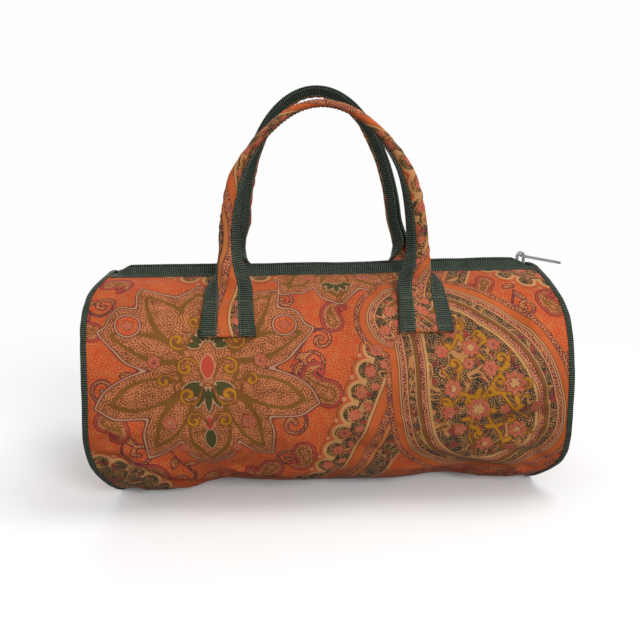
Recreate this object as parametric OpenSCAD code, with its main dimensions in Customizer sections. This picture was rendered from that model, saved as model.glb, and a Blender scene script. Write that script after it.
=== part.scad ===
// Mini boston bag: a soft barrel of printed cloth with round ends, ribbon-bound seams,
// a zip along the top and two folded carrying handles. Millimetres, +Z up, the bag's
// length along X, its front towards -Y, and the origin under its middle on the floor.

/* [Body] */
// Length over the end bindings
bag_length = 300; // [240:1:360]
// Half of the bag's depth, front to back
half_depth = 77; // [68:1:88]
// Half of the barrel's height before the base is pressed flat
half_height = 75; // [66:1:86]
// How much of the round base is pressed flat by the floor
base_flat = 3.5; // [2:0.1:7]
// Thickness of the cloth with its backing
cloth = 1.4; // [0.8:0.1:2]
// Depth of the turned-out rim of each end panel
rim_depth = 5; // [4:0.1:8]

/* [Ribbon] */
// Width of the ribbed ribbon where it shows
ribbon_width = 10; // [8:0.5:12]
// Thickness of the ribbon
ribbon = 0.5; // [0.3:0.05:0.8]
// Depth of the ribbon's hidden leg on the inner side of an edge
ribbon_tuck = 4; // [3:0.5:5]

/* [Zip] */
// Half of the gap between the two lips of the opening
lip_half_gap = 7.6; // [7:0.1:10]
// Height of the lips above the barrel
lip_height = 3.5; // [3:0.5:9]
// Length over which each lip sinks towards the end binding
lip_fade = 8; // [6:0.5:10]
// Depth of the zip's teeth below the top of the lips
zip_recess = 5; // [4.5:0.1:6]
// Distance from the zip tape's end to the end of the bag
zip_inset = 13; // [12:0.5:20]
// Thickness of the zip tape
zip_tape = 0.6; // [0.4:0.05:0.8]
// Half of the gap between the zip tapes under the teeth
tape_half_gap = 2.1; // [1.9:0.1:2.6]
// Distance from one tooth to the next in a row
tooth_pitch = 2.4; // [2.2:0.1:3.2]
// Width of one tooth along the row
tooth_width = 1; // [0.8:0.05:1.05]
// Height of the teeth
tooth_height = 2; // [1.6:0.1:2.4]
// How far each row's teeth reach past the middle
tooth_overlap = 0.6; // [0.4:0.1:0.9]

/* [Slider] */
// Length of the slider
slider_length = 12; // [10:0.5:14]
// Width of the slider at its wide end
slider_width = 10.4; // [9.6:0.1:11]
// Thickness of the slider's plates
slider_plate = 1; // [0.8:0.1:1.2]
// Running clearance between the slider and the zip
slider_clearance = 0.3; // [0.2:0.05:0.4]
// Room left between the closed slider and the end panel
slider_stop = 5; // [0:0.5:6]
// Width of the bail that the pull hangs on
bail_width = 2.4; // [2:0.1:2.8]
// Height of the pull's pivot above the top of the teeth
pivot_height = 7; // [6:0.1:8]
// Length of the pull from its pivot
pull_length = 29; // [24:0.5:30]
// Width of the pull
pull_width = 7; // [6.4:0.1:8]
// Thickness of the pull
pull_thick = 1.5; // [1.2:0.1:1.8]
// Angle at which the pull droops past the end of the bag
pull_droop = 11; // [6:0.5:11]

/* [Handles] */
// Width of the flat handle strap, edge ribbons included
strap_width = 34; // [30:0.5:38]
// Distance between the middles of a handle's two feet
feet_apart = 122; // [100:1:150]
// Distance down the barrel from the lip to the handle's upper seam
foot_top = 42; // [36:1:56]
// Length of each foot from its upper seam to its lower edge
foot_length = 26; // [20:1:32]
// Half of the width of the handle's arch
arch_half_width = 60; // [52:1:76]
// Height of the foot of the arch above the barrel
arch_lift = 18.5; // [14:0.5:34]
// Height of the front handle's middle line above the barrel
front_handle_rise = 103.5; // [74:0.5:124]
// Height of the back handle's middle line above the barrel
back_handle_rise = 110.5; // [74:0.5:124]
// Distance of the limbs from the middle of the depth where the arch begins
limb_offset = 31; // [26:1:40]
// Distance of the top of the arch from the middle of the depth
arch_offset = 20; // [16:1:30]
// Turn of the front handle's fold on the limbs, towards the inside of the arch
front_limb_turn = 62; // [0:1:80]
// Turn of the front handle's fold at the top of the arch
front_top_turn = 14; // [0:1:60]
// Turn of the back handle's fold on the limbs
back_limb_turn = -28; // [-60:1:60]
// Turn of the back handle's fold at the top of the arch
back_top_turn = -38; // [-60:1:60]

/* [Hidden] */

print_colour = "#b8552e";
ribbon_colour = "#22382f";
tape_colour = "#1b2b25";
metal_colour = "#7d8183";

// Height of the barrel's own middle above the floor
middle_z = half_height - base_flat;
// Half length at which the cloth of the barrel ends, inside the ribbon's fold
cloth_end = bag_length / 2 - ribbon;
// Lips: top of the cloth, top of the ribbon, and the levels of the zip under them
barrel_top = middle_z + half_height;
lip_top = barrel_top + lip_height + ribbon;
arch_base = barrel_top + arch_lift;
front_handle_top = barrel_top + front_handle_rise;
back_handle_top = barrel_top + back_handle_rise;
teeth_top = lip_top - zip_recess;
tape_top = teeth_top - tooth_height;
tape_bottom = tape_top - zip_tape;
tape_end = bag_length / 2 - zip_inset;

// Basic vector help
function unit(v) = v / norm(v);
function smooth(t) = let (c = max(0, min(1, t))) c * c * (3 - 2 * c);
function mix(a, b, t) = a + (b - a) * t;
function reverse(list) = [for (i = [len(list) - 1:-1:0]) list[i]];

// Half of the bag's section at one place along its length, from the lip round to the
// middle of the base, as [distance from the middle, height]
section_steps = 160;
lip_end = bag_length / 2 - rim_depth;
function lip_rise(x) = lip_height * smooth((lip_end - abs(x)) / lip_fade);
function section_point(x, w) =
    let (y = half_depth * sin(w))
    let (z = middle_z - half_height * cos(w))
    let (lip_run = 1.1 * lip_height)
    let (lip = w > 90 ? lip_rise(x) * pow(1 - min(1, (y - lip_half_gap) / lip_run), 1.3) : 0)
    [y, max(0, z) + lip];
function section_fine(x) =
    let (w_lip = 180 - asin(lip_half_gap / half_depth))
    [for (i = [0:section_steps])
        let (t = i / section_steps)
        section_point(x, w_lip * pow(1 - t, 0.75))];
// The same half section measured by its own length: [length, distance, height] rows
function measured(points) =
    [for (i = 0, s = 0;
        i < len(points);
        s = s + (i + 1 < len(points) ? norm(points[i + 1] - points[i]) : 0), i = i + 1)
        [s, points[i][0], points[i][1]]];
function along(rows, s) = [
    lookup(s, [for (r = rows) [r[0], r[1]]]),
    lookup(s, [for (r = rows) [r[0], r[2]]])
];
// Lengths at which the half section is sampled, with the ribbon's edge among them
lip_samples = 5;
barrel_samples = 21;
function half_lengths(total) = concat(
    [for (i = [0:lip_samples]) ribbon_width * i / lip_samples],
    [for (i = [1:barrel_samples]) mix(ribbon_width, total, i / barrel_samples)]
);
function half_section(x) =
    let (rows = measured(section_fine(x)))
    [for (s = half_lengths(rows[len(rows) - 1][0])) along(rows, s)];
// Points moved sideways from a path by a distance, to its left
function path_normal(points, i) =
    let (a = points[max(0, i - 1)], b = points[min(len(points) - 1, i + 1)])
    let (d = unit(b - a))
    [-d[1], d[0]];
function shifted(points, distance) =
    [for (i = [0:len(points) - 1]) points[i] + distance * path_normal(points, i)];
// The whole open section, from the front lip round the base to the back lip
function whole_section(x) =
    let (half = half_section(x))
    concat(
        [for (p = half) [-p[0], p[1]]],
        [for (i = [len(half) - 2:-1:0]) half[i]]
    );

// Places along the length at which the sections stand
function stations(end) =
    let (fade = [for (t = [1, 0.75, 0.5, 0.25, 0]) lip_end - lip_fade * t])
    let (inside = [for (v = fade) if (v < end - 0.5) v])
    let (half = concat([for (t = [0.25, 0.5, 0.75]) t * fade[0]], inside, [end]))
    concat([for (v = reverse(half)) -v], [0], half);

// A solid through a row of equal rings of points. Each ring runs along one face of a sheet
// and back along the other, so a ring's two halves also give the triangles that close an end.
module loft(rings) {
    count = len(rings[0]);
    points = [for (ring = rings) for (p = ring) p];
    sides = [for (k = [0:len(rings) - 2])
        for (i = [0:count - 1])
            let (a = k * count + i, b = k * count + (i + 1) % count, c = b + count, d = a + count)
            let (straight = norm(points[a] - points[c]) < norm(points[b] - points[d]))
            for (face = straight ? [[a, b, c], [a, c, d]] : [[a, b, d], [b, c, d]]) face];
    last = (len(rings) - 1) * count;
    strip = [for (i = [0:count / 2 - 2])
        let (c = count - 2 - i, d = count - 1 - i)
        for (face = [[i, i + 1, c], [i, c, d]]) face];
    caps = concat([for (f = strip) reverse(f)], [for (f = strip) [for (i = f) last + i]]);
    polyhedron(points = points, faces = concat(sides, caps), convexity = 10);
}

// Rings of a band of the section: between two depths under the surface, at each station
function band_ring(x, points, outer, inner) = concat(
    [for (p = shifted(points, inner)) [x, p[0], p[1]]],
    [for (p = reverse(shifted(points, outer))) [x, p[0], p[1]]]
);

module body_panel() {
    color(print_colour)
        loft([for (x = stations(cloth_end)) band_ring(x, whole_section(x), 0, cloth)]);
}

// Outline of the closed end seam, a distance inside the barrel's cloth
seam_samples = 72;
function end_outline(inset) =
    [for (i = [0:seam_samples - 1])
        let (w = 360 * i / seam_samples)
        [(half_depth - inset) * sin(w),
            max(inset, middle_z - (half_height - inset) * cos(w))]];
module end_slab(inset, from, to) {
    translate([from, 0, 0])
        rotate([90, 0, 90])
            linear_extrude(to - from)
                polygon(end_outline(inset));
}

// Right end panel: a flat round of cloth whose edge is turned out into a rim
end_seat = 0.35;
module right_end_panel() {
    color(print_colour)
        difference() {
            end_slab(cloth + end_seat, bag_length / 2 - rim_depth - cloth, cloth_end);
            end_slab(2 * cloth + end_seat, bag_length / 2 - rim_depth, bag_length);
        }
}
module left_end_panel() {
    mirror([1, 0, 0]) right_end_panel();
}

// Right end binding: ribbon folded over the barrel's edge and the end panel's rim
binding_seat = 0.15;
module right_end_binding() {
    rim_inside = 2 * cloth + end_seat + binding_seat;
    color(ribbon_colour)
        intersection() {
            difference() {
                end_slab(-ribbon - binding_seat, bag_length / 2 - rim_depth, bag_length / 2);
                end_slab(rim_inside + ribbon, 0, bag_length);
                difference() {
                    end_slab(-binding_seat, 0, cloth_end + binding_seat);
                    end_slab(rim_inside, 0, bag_length);
                }
            }
            translate([0, -bag_length, 0]) cube(2 * bag_length);
        }
}
module left_end_binding() {
    mirror([1, 0, 0]) right_end_binding();
}

// Front lip: ribbon folded over the edge of the barrel's cloth
tuck_samples = round(ribbon_tuck * lip_samples / ribbon_width);
lip_seat = 0.08;
function lip_ring(x) =
    let (half = half_section(x))
    let (front = [for (i = [0:lip_samples]) [-half[i][0], half[i][1]]])
    let (way = unit(front[0] - front[1]), edge = lip_seat * way, up = (lip_seat + ribbon) * way)
    let (outer = shifted(front, -lip_seat - ribbon), over = shifted(front, -lip_seat))
    let (under = shifted(front, cloth + lip_seat), inner = shifted(front, cloth + lip_seat + ribbon))
    let (ring = concat(
        [for (i = [lip_samples:-1:1]) outer[i]], [outer[0] + up, inner[0] + up],
        [for (i = [1:tuck_samples]) inner[i]],
        [for (i = [tuck_samples:-1:1]) under[i]], [under[0] + edge, over[0] + edge],
        [for (i = [1:lip_samples]) over[i]]
    ))
    [for (p = ring) [x, p[0], p[1]]];
module front_zip_ribbon() {
    color(ribbon_colour)
        loft([for (x = stations(lip_end - cloth - end_seat)) lip_ring(x)]);
}
module back_zip_ribbon() {
    mirror([0, 1, 0]) front_zip_ribbon();
}

// Front zip tape: flat under the teeth, then sewn against the inside of the front lip
tape_seat = 0.1;
function tape_ring(x) =
    let (half = half_section(x))
    let (front = [for (p = half) [-p[0], p[1]]])
    let (seam = shifted(front, cloth + tape_seat))
    let (hem = shifted(front, cloth + tape_seat + zip_tape))
    let (flat = [[-tape_half_gap, tape_top], [-slider_width / 2 - 0.8, tape_top]])
    let (under = [for (p = reverse(flat)) p - [0, zip_tape]])
    let (up = [for (i = [3:5]) seam[i]], down = [for (i = [5:-1:3]) hem[i]])
    [for (p = reverse(concat(flat, up, down, under))) [x, p[0], p[1]]];
module front_zip_tape() {
    color(tape_colour)
        loft([for (x = [-tape_end, tape_end]) tape_ring(x)]);
}
module back_zip_tape() {
    mirror([0, 1, 0]) front_zip_tape();
}

// One row of teeth: a spine along the tape with a tooth at each pitch
spine_outer = tape_half_gap + 1.3;
spine_inner = tape_half_gap + 0.2;
module teeth_row(offset) {
    count = floor((2 * tape_end - 2 * tooth_width - tooth_pitch) / tooth_pitch);
    start = -tape_end + tooth_width + offset;
    comb = [for (i = [0:count])
        for (c = [[-1, -spine_inner], [-1, tooth_overlap], [1, tooth_overlap], [1, -spine_inner]])
            [start + i * tooth_pitch + c[0] * tooth_width / 2, c[1]]];
    edge = [[tape_end, -spine_inner], [tape_end, -spine_outer],
        [-tape_end, -spine_outer], [-tape_end, -spine_inner]];
    color(tape_colour)
        translate([0, 0, tape_top])
            linear_extrude(tooth_height)
                polygon(concat(comb, edge));
}
module front_zip_teeth() {
    teeth_row(0);
}
module back_zip_teeth() {
    mirror([0, 1, 0]) teeth_row(tooth_pitch / 2);
}

// Slider: two plates round the tapes and teeth, a post between them and a bail on top
slider_x = lip_end - cloth - slider_clearance - slider_stop - slider_length / 2;
plate_low = tape_bottom - slider_clearance - slider_plate;
plate_high = teeth_top + slider_clearance;
pivot_x = slider_x + 2.8;
pivot_z = teeth_top + pivot_height;
bail_inner = pull_thick / 2 + 0.75;
bail_thick = 1.4;
module slider_plate_shape() {
    half = slider_length / 2;
    wide = slider_width / 2;
    polygon([
        [-half, -wide + 1.6], [-half + 1, -wide + 0.6], [1, -wide], [half - 1.4, -wide],
        [half, -wide + 1.4], [half, wide - 1.4], [half - 1.4, wide], [1, wide],
        [-half + 1, wide - 0.6], [-half, wide - 1.6]
    ]);
}
module zip_slider() {
    flange_low = tape_top + slider_clearance;
    color(metal_colour)
        translate([slider_x, 0, 0]) {
            translate([0, 0, plate_low]) linear_extrude(slider_plate) slider_plate_shape();
            translate([0, 0, plate_high]) linear_extrude(slider_plate) slider_plate_shape();
            for (side = [-1, 1])
                translate([-3.5, side * (slider_width / 2 - 1) - 0.4, flange_low])
                    cube([7, 0.8, plate_high - flange_low + slider_plate / 2]);
            translate([2.4, -1.5, plate_low + slider_plate / 2])
                cube([2.6, 3, plate_high - plate_low]);
            translate([pivot_x - slider_x, 0, pivot_z])
                rotate([90, 0, 0])
                    translate([0, 0, -bail_width / 2])
                        rotate_extrude(angle = 180, $fn = 48)
                            translate([bail_inner, 0])
                                square([bail_thick, bail_width]);
            for (foot = [-bail_inner - bail_thick, bail_inner])
                translate([pivot_x - slider_x + foot, -bail_width / 2, plate_high + slider_plate / 2])
                    cube([bail_thick, bail_width, pivot_z - plate_high - slider_plate / 2]);
        }
}

// Pull: a flat bar whose eye is threaded on the bail, turning about its own cross bar
eye_length = bail_inner + bail_thick + 0.7;
eye_width = bail_width + 0.8;
module zip_pull() {
    color(metal_colour)
        translate([pivot_x, 0, pivot_z])
            rotate([0, pull_droop, 0]) {
                rotate([90, 0, 0])
                    cylinder(h = pull_width, d = pull_thick, center = true, $fn = 32);
                translate([0, 0, -pull_thick / 2])
                    difference() {
                        union() {
                            translate([0, -pull_width / 2, 0])
                                cube([pull_length - pull_width / 2, pull_width, pull_thick]);
                            translate([pull_length - pull_width / 2, 0, 0])
                                cylinder(h = pull_thick, d = pull_width, $fn = 48);
                        }
                        translate([-eye_length, -eye_width / 2, -1])
                            cube([2 * eye_length, eye_width, pull_thick + 2]);
                    }
                rotate([90, 0, 0])
                    cylinder(h = eye_width + 0.4, d = pull_thick, center = true, $fn = 32);
            }
}

// Handle strap: its middle line runs up from one foot, over the arch and down to the other.
// Each place on it has a point, the way out from the bag, how far the strap is folded along
// its length and how far the fold is turned towards the inside of the arch.
foot_seat = 0.4;
ribbon_seat = 0.2;
foot_steps = 3;
limb_steps = 8;
arch_steps = 6;
barrel_rows = measured(section_fine(0));
function on_barrel(s, lift) =
    let (d = unit(along(barrel_rows, s + 0.5) - along(barrel_rows, s - 0.5)))
    let (p = along(barrel_rows, s))
    [p[0] - d[1] * lift, p[1] + d[0] * lift];
function barrel_out(s) =
    let (d = unit(along(barrel_rows, s + 0.5) - along(barrel_rows, s - 0.5)))
    [0, d[1], d[0]];
foot_lift = foot_seat + ribbon_seat + ribbon + cloth / 2;
function foot_place(t) =
    let (s = foot_top + foot_length * (1 - t), p = on_barrel(s, foot_lift))
    [[-feet_apart / 2, -p[0], p[1]], barrel_out(s), 0, 0];
function limb_place(t, top, limb_turn) =
    let (a = on_barrel(foot_top, foot_lift), b = [limb_offset, arch_base])
    let (reach = norm(b - a))
    let (ta = unit(a - on_barrel(foot_top + 1, foot_lift)))
    let (tb = unit([arch_offset - limb_offset, top - arch_base]))
    let (p = a * (2 * pow(t, 3) - 3 * t * t + 1) + reach * ta * (pow(t, 3) - 2 * t * t + t)
        + b * (3 * t * t - 2 * pow(t, 3)) + reach * tb * (pow(t, 3) - t * t))
    [[-mix(feet_apart / 2, arch_half_width, t), -p[0], p[1]],
        mix(barrel_out(foot_top), [0, -1, 0], t), smooth(t * 0.95), limb_turn * smooth(t)];
function arch_place(t, top, limb_turn, top_turn) =
    let (w = 90 * t)
    [[-arch_half_width * cos(w), -mix(limb_offset, arch_offset, sin(w)),
        arch_base + (top - arch_base) * sin(w)],
        [0, -1, 0], mix(0.97, 1, min(1, 3 * t)), mix(limb_turn, top_turn, smooth(1.1 * t))];
function half_handle(top, limb_turn, top_turn) = concat(
    [for (i = [0:foot_steps]) foot_place(i / foot_steps)],
    [for (i = [1:limb_steps]) limb_place(i / limb_steps, top, limb_turn)],
    [for (i = [1:arch_steps]) arch_place(i / arch_steps, top, limb_turn, top_turn)]
);
function other_side(place) =
    [[-place[0][0], place[0][1], place[0][2]], place[1], place[2], place[3]];
function handle_places(top, limb_turn, top_turn) =
    let (half = half_handle(top, limb_turn, top_turn))
    concat(half, [for (i = [len(half) - 2:-1:0]) other_side(half[i])]);

// Half of the strap's own section, from its middle line to its edge, folded by a share:
// [sideways, towards the fold]
strap_half = strap_width / 2 - ribbon - ribbon_seat;
plain_half = strap_width / 2 - ribbon_width;
plain_steps = 4;
edge_steps = 4;
nose = 0.8 * plain_half;
// Angle by which the folded strap's legs lean in, so that its bound edges just meet
edge_gap = 0.3;
edge_reach = cloth / 2 + ribbon_seat + ribbon + edge_gap / 2;
lean_in = ((nose - edge_reach * PI / 2) / (strap_half - nose)) * 180 / PI;
function strap_lengths() = concat(
    [for (i = [0:plain_steps]) plain_half * i / plain_steps],
    [for (i = [1:edge_steps]) mix(plain_half, strap_half, i / edge_steps)]
);
fine_step = 0.25;
function fold_angle(s, fold) =
    fold * (90 * min(1, s / nose) + (s > nose ? lean_in * sin(180 * (s - nose) / (strap_half - nose)) : 0));
function folded_half(fold) =
    let (rows = [for (s = 0, p = 0, q = 0;
        s <= strap_half + fine_step;
        p = p + fine_step * cos(fold_angle(s, fold)),
        q = q + fine_step * sin(fold_angle(s, fold)),
        s = s + fine_step) [s, p, q]])
    let (edge = along(rows, strap_half))
    [for (s = strap_lengths()) along(rows, s) - [0, edge[1] * (1 - 0.5 * fold)]];
function folded_strap(fold) =
    let (half = folded_half(fold))
    concat([for (i = [len(half) - 1:-1:1]) [-half[i][0], half[i][1]]], half);
function strap_ring(fold) =
    let (line = folded_strap(fold))
    concat(shifted(line, -cloth / 2), reverse(shifted(line, cloth / 2)));
// Ribbon folded over one edge of the strap: long leg outside, short leg inside
tuck_steps = 2;
function edge_ribbon_ring(fold) =
    let (line = folded_strap(fold), last = len(line) - 1)
    let (near = cloth / 2 + ribbon_seat, far = near + ribbon)
    let (outer = shifted(line, -far), face = shifted(line, -near))
    let (back = shifted(line, near), inner = shifted(line, far))
    let (way = unit(line[last] - line[last - 1]))
    let (e = ribbon_seat * way, d = (ribbon + ribbon_seat) * way)
    concat(
        [for (i = [last - edge_steps:last - 1]) outer[i]], [outer[last] + d, inner[last] + d],
        [for (i = [last - 1:-1:last - tuck_steps]) inner[i]],
        [for (i = [last - tuck_steps:last - 1]) back[i]], [back[last] + e, face[last] + e],
        [for (i = [last - 1:-1:last - edge_steps]) face[i]]
    );
function turned_over(ring) = reverse([for (p = ring) [-p[0], p[1]]]);

// A section set up across the handle's line at one place
function set_across(places, i, ring) =
    let (place = places[i])
    let (t = unit(places[min(len(places) - 1, i + 1)][0] - places[max(0, i - 1)][0]))
    let (out = unit(place[1] - (place[1] * t) * t))
    let (side = cross(t, out))
    let (turn = place[3])
    let (tail = side * sin(turn) - out * cos(turn), across = side * cos(turn) + out * sin(turn))
    [for (p = reverse(ring)) place[0] + p[0] * across + p[1] * tail];
module handle_strap(places) {
    color(print_colour)
        loft([for (i = [0:len(places) - 1]) set_across(places, i, strap_ring(places[i][2]))]);
}
module handle_ribbon(places, inside) {
    color(ribbon_colour)
        loft([for (i = [0:len(places) - 1])
            let (ring = edge_ribbon_ring(places[i][2]))
            set_across(places, i, inside ? ring : turned_over(ring))]);
}

front_places = handle_places(front_handle_top, front_limb_turn, front_top_turn);
back_places = handle_places(back_handle_top, back_limb_turn, back_top_turn);
module front_handle_strap() {
    handle_strap(front_places);
}
module front_handle_outer_ribbon() {
    handle_ribbon(front_places, false);
}
module front_handle_inner_ribbon() {
    handle_ribbon(front_places, true);
}
module back_handle_strap() {
    rotate([0, 0, 180]) handle_strap(back_places);
}
module back_handle_outer_ribbon() {
    rotate([0, 0, 180]) handle_ribbon(back_places, false);
}
module back_handle_inner_ribbon() {
    rotate([0, 0, 180]) handle_ribbon(back_places, true);
}

body_panel();
left_end_panel();
right_end_panel();
left_end_binding();
right_end_binding();
front_zip_ribbon();
back_zip_ribbon();
front_zip_tape();
back_zip_tape();
front_zip_teeth();
back_zip_teeth();
zip_slider();
zip_pull();
front_handle_strap();
front_handle_outer_ribbon();
front_handle_inner_ribbon();
back_handle_strap();
back_handle_outer_ribbon();
back_handle_inner_ribbon();
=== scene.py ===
import math
from functools import reduce
import bpy
import numpy as np
from mathutils import Matrix, Vector


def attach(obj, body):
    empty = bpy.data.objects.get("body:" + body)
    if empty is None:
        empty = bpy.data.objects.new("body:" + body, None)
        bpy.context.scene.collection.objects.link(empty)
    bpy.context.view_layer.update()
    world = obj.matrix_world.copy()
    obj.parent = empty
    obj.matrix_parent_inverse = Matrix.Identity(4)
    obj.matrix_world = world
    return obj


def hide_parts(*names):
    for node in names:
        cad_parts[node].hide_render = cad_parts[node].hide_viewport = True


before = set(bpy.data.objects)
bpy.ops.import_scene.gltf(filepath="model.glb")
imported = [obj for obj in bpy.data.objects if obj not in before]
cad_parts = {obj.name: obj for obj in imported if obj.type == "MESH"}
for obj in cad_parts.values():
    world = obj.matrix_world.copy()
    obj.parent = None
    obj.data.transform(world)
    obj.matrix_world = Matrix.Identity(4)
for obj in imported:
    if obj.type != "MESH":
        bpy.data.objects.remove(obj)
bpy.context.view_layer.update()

mm = 0.001
# sizes shared with the solids, in millimetres
bag = dict(halfLength=150.0, halfDepth=77.0, halfHeight=75.0, baseFlat=3.5, cloth=1.4, rim=5.0, ribbon=0.5,
           ribbonWidth=10.0, lipGap=7.6, lipHeight=3.5, lipFade=10.0, tapeDrop=7.0)
middleZ = bag["halfHeight"] - bag["baseFlat"]
barrelTop = middleZ + bag["halfHeight"]
lipEnd = bag["halfLength"] - bag["rim"]
tapeTop = barrelTop + bag["lipHeight"] + bag["ribbon"] - bag["tapeDrop"]


def smooth(t):
    t = np.clip(t, 0, 1)
    return t * t * (3 - 2 * t)


# 0 up to start, 1 past start + run
def ramp(value, start, run):
    return smooth((value - start) / run)


def bump(d, w):
    return np.exp(-(d / w) ** 2)


def unit(v):
    return v / np.linalg.norm(v, axis=-1, keepdims=True)


# the length of a line up to each of its points
def runOf(points):
    return np.concatenate([[0], np.cumsum(np.linalg.norm(np.diff(points, axis=0), axis=1))])


# lattice noise in -1..1, the same every run
def cloudy(u, v, cell, seed):
    size = 97
    grid = np.random.default_rng(seed).uniform(-1, 1, (size, size))
    a, b = np.asarray(u) / cell + 40.3, np.asarray(v) / cell + 40.7
    i, j = np.floor(a).astype(int), np.floor(b).astype(int)
    p, q = smooth(a - i), smooth(b - j)

    def at(m, n):
        return grid[m % size, n % size]

    near = at(i, j) * (1 - p) + at(i + 1, j) * p
    far = at(i, j + 1) * (1 - p) + at(i + 1, j + 1) * p
    return near * (1 - q) + far * q


# a piece of the bag's own body, from points in millimetres
def makePiece(name, nodes, points, faces, flip=False):
    mesh = bpy.data.meshes.new(name)
    corners = [tuple(f[::-1] if flip else f) for f in faces]
    mesh.from_pydata([tuple(p) for p in np.reshape(points, (-1, 3)) * mm], [], corners)
    mesh.update()
    mesh.polygons.foreach_set("use_smooth", [True] * len(mesh.polygons))
    obj = bpy.data.objects.new(name, mesh)
    bpy.context.collection.objects.link(obj)
    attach(obj, "bag")
    if nodes:
        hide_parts(*nodes)
    return obj


# faces of a grid of points, rows by columns, closed either way if asked
def gridFaces(rows, cols, closeRows=False, closeCols=False, start=0):
    r, c = np.meshgrid(np.arange(rows if closeRows else rows - 1),
                       np.arange(cols if closeCols else cols - 1), indexing="ij")
    r2, c2 = (r + 1) % rows, (c + 1) % cols
    quad = np.stack([r * cols + c, r * cols + c2, r2 * cols + c2, r2 * cols + c], -1)
    return (quad.reshape(-1, 4) + start).tolist()


# a number per point, read by the shaders
def pointField(obj, name, values):
    att = obj.data.attributes.new(name, "FLOAT", "POINT")
    att.data.foreach_set("value", np.asarray(values, dtype=np.float32).ravel())


# each point's place on the flat cloth or ribbon, in millimetres
def layFlat(obj, u, v):
    u, v = (np.ravel(q) for q in np.broadcast_arrays(u, v))
    att = obj.data.attributes.new("flat", "FLOAT_VECTOR", "POINT")
    att.data.foreach_set("vector", np.stack([u, v, 0 * u], -1).astype(np.float32).ravel())


# a ribbon or tape: a piece over a grid of points, laid flat
def makeBand(name, slot, node, points, u, v, flip, shape, **closed):
    piece = makePiece(name, [node], points, gridFaces(*shape, **closed), flip)
    layFlat(piece, u, v)
    return piece


# a curve through a few points, with whatever else they carry
def curveThrough(points, count):
    p = np.array([points[0], *points, points[-1]], float)
    t = np.linspace(0, len(points) - 1 - 1e-6, count)
    i = t.astype(int)
    f = (t - i)[:, None]
    a, b, c, d = p[i], p[i + 1], p[i + 2], p[i + 3]
    return 0.5 * (2 * b + (c - a) * f + (2 * a - 5 * b + 4 * c - d) * f ** 2
                  + (3 * b - a - 3 * c + d) * f ** 3)


# shapes of the print: distances in millimetres, inside is negative; u is along the bag, v down from the lip
def nearest(shapes):
    return reduce(np.minimum, shapes)


# a line of round beads, each x, y and radius
def beads(u, v, line):
    return nearest(np.hypot(u - x, v - y) - r for x, y, r in line)


def leaf(u, v, x, y, turn, length, width):
    c, s = math.cos(math.radians(turn)), math.sin(math.radians(turn))
    half = length / 2
    along = np.abs((u - x) * c + (v - y) * s - half)
    side = np.abs(-(u - x) * s + (v - y) * c)
    rad = (half * half + width * width) / (2 * width)
    off = rad - width
    tip = (along - half) * off > side * half
    return np.where(tip, np.hypot(side, along - half), np.hypot(side + off, along) - rad)


def rosette(u, v, x, y, size, petals):
    a = np.arctan2(v - y, u - x)
    return np.hypot(u - x, v - y) - size * (0.83 + 0.17 * np.cos(petals * a))


# beads along a curl, led in by a straight tail
def curl(x, y, size, turns, start, hand, thick, tail):
    t = np.linspace(0, 1, 46)
    a = math.radians(start) + hand * t * turns * 2 * math.pi
    r = size * (1 - 0.86 * t)
    line = np.stack([x + r * np.cos(a), y + r * np.sin(a), thick * (0.55 + 0.75 * t)], -1)
    way = np.array([-hand * math.sin(a[0]), hand * math.cos(a[0])])
    lead = [[*(line[0, :2] - way * tail * k), thick * 0.5 * (1 - k)] for k in np.linspace(1, 0.08, 12)]
    return np.concatenate([lead, line])


def softMin(a, b, k):
    h = np.clip(0.5 + 0.5 * (b - a) / k, 0, 1)
    return b + (a - b) * h - k * h * (1 - h)


def lobed(x, y, petals, heart):
    d = np.hypot(x, y) - heart
    for turn, length, width, rootX, rootY in petals:
        d = softMin(d, leaf(x, y, rootX, rootY, turn, length, width), 3.0)
    return d


def palmette(x, y, cx, cy, turn, count, spread, length, width):
    blades = []
    for k in range(count):
        off = k - (count - 1) / 2
        a = turn + spread * off
        rootX, rootY = cx + 4.5 * math.cos(math.radians(a)), cy + 4.5 * math.sin(math.radians(a))
        blades.append(leaf(x, y, rootX, rootY, a, length * (1 - 0.5 * abs(off) / count), width))
    return nearest(blades)


def turned(line, cx, cy, turn, size):
    c, s = size * math.cos(math.radians(turn)), size * math.sin(math.radians(turn))
    return np.stack([cx + line[:, 0] * c - line[:, 1] * s, cy + line[:, 0] * s + line[:, 1] * c,
                     size * line[:, 2]], -1)


# leaf medallion of the print, mirrored about its own middle line: petals are turn, length, width and root
medallion = dict(
    place=(-75.0, 86.0), heart=24, volute=(47, -27), voluteRim=12.5, voluteEye=7.0, wavelets=22,
    waveHigh=0.7,
    petals=((90, 68, 19, 0, 2), (58, 62, 13, 5, 6), (14, 66, 15, 4, 8), (-20, 64, 14, 4, -2),
            (-52, 66, 16, 2, -4), (-86, 58, 16, 4, -4)),
    fans=((0, 8, 90, 7, 24, 15, 2.0), (0, -12, -90, 7, 26, 11, 1.8)), bud=(0, 38, 90, 15, 3.2),
    jewels=((0, -8, 90, 15, 4.0), (0, 30, 90, 9, 2.6)),
    curls=((13, 0, 6.5, 1.15, 200, 1, 0.75, 10), (12, 17, 6.5, 1.15, 160, -1, 0.75, 9),
           (9, 33, 5.5, 1.1, 215, 1, 0.7, 7), (18, -17, 6, 1.1, 150, -1, 0.75, 10),
           (26, 8, 5, 1.1, 190, 1, 0.6, 9), (8, -30, 5, 1.1, 200, -1, 0.6, 8)),
    flowers=((24, 34, 5, 8), (32, -4, 4.4, 7), (47, -27, 3.4, 5), (16, 52, 3.6, 6)))
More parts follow.
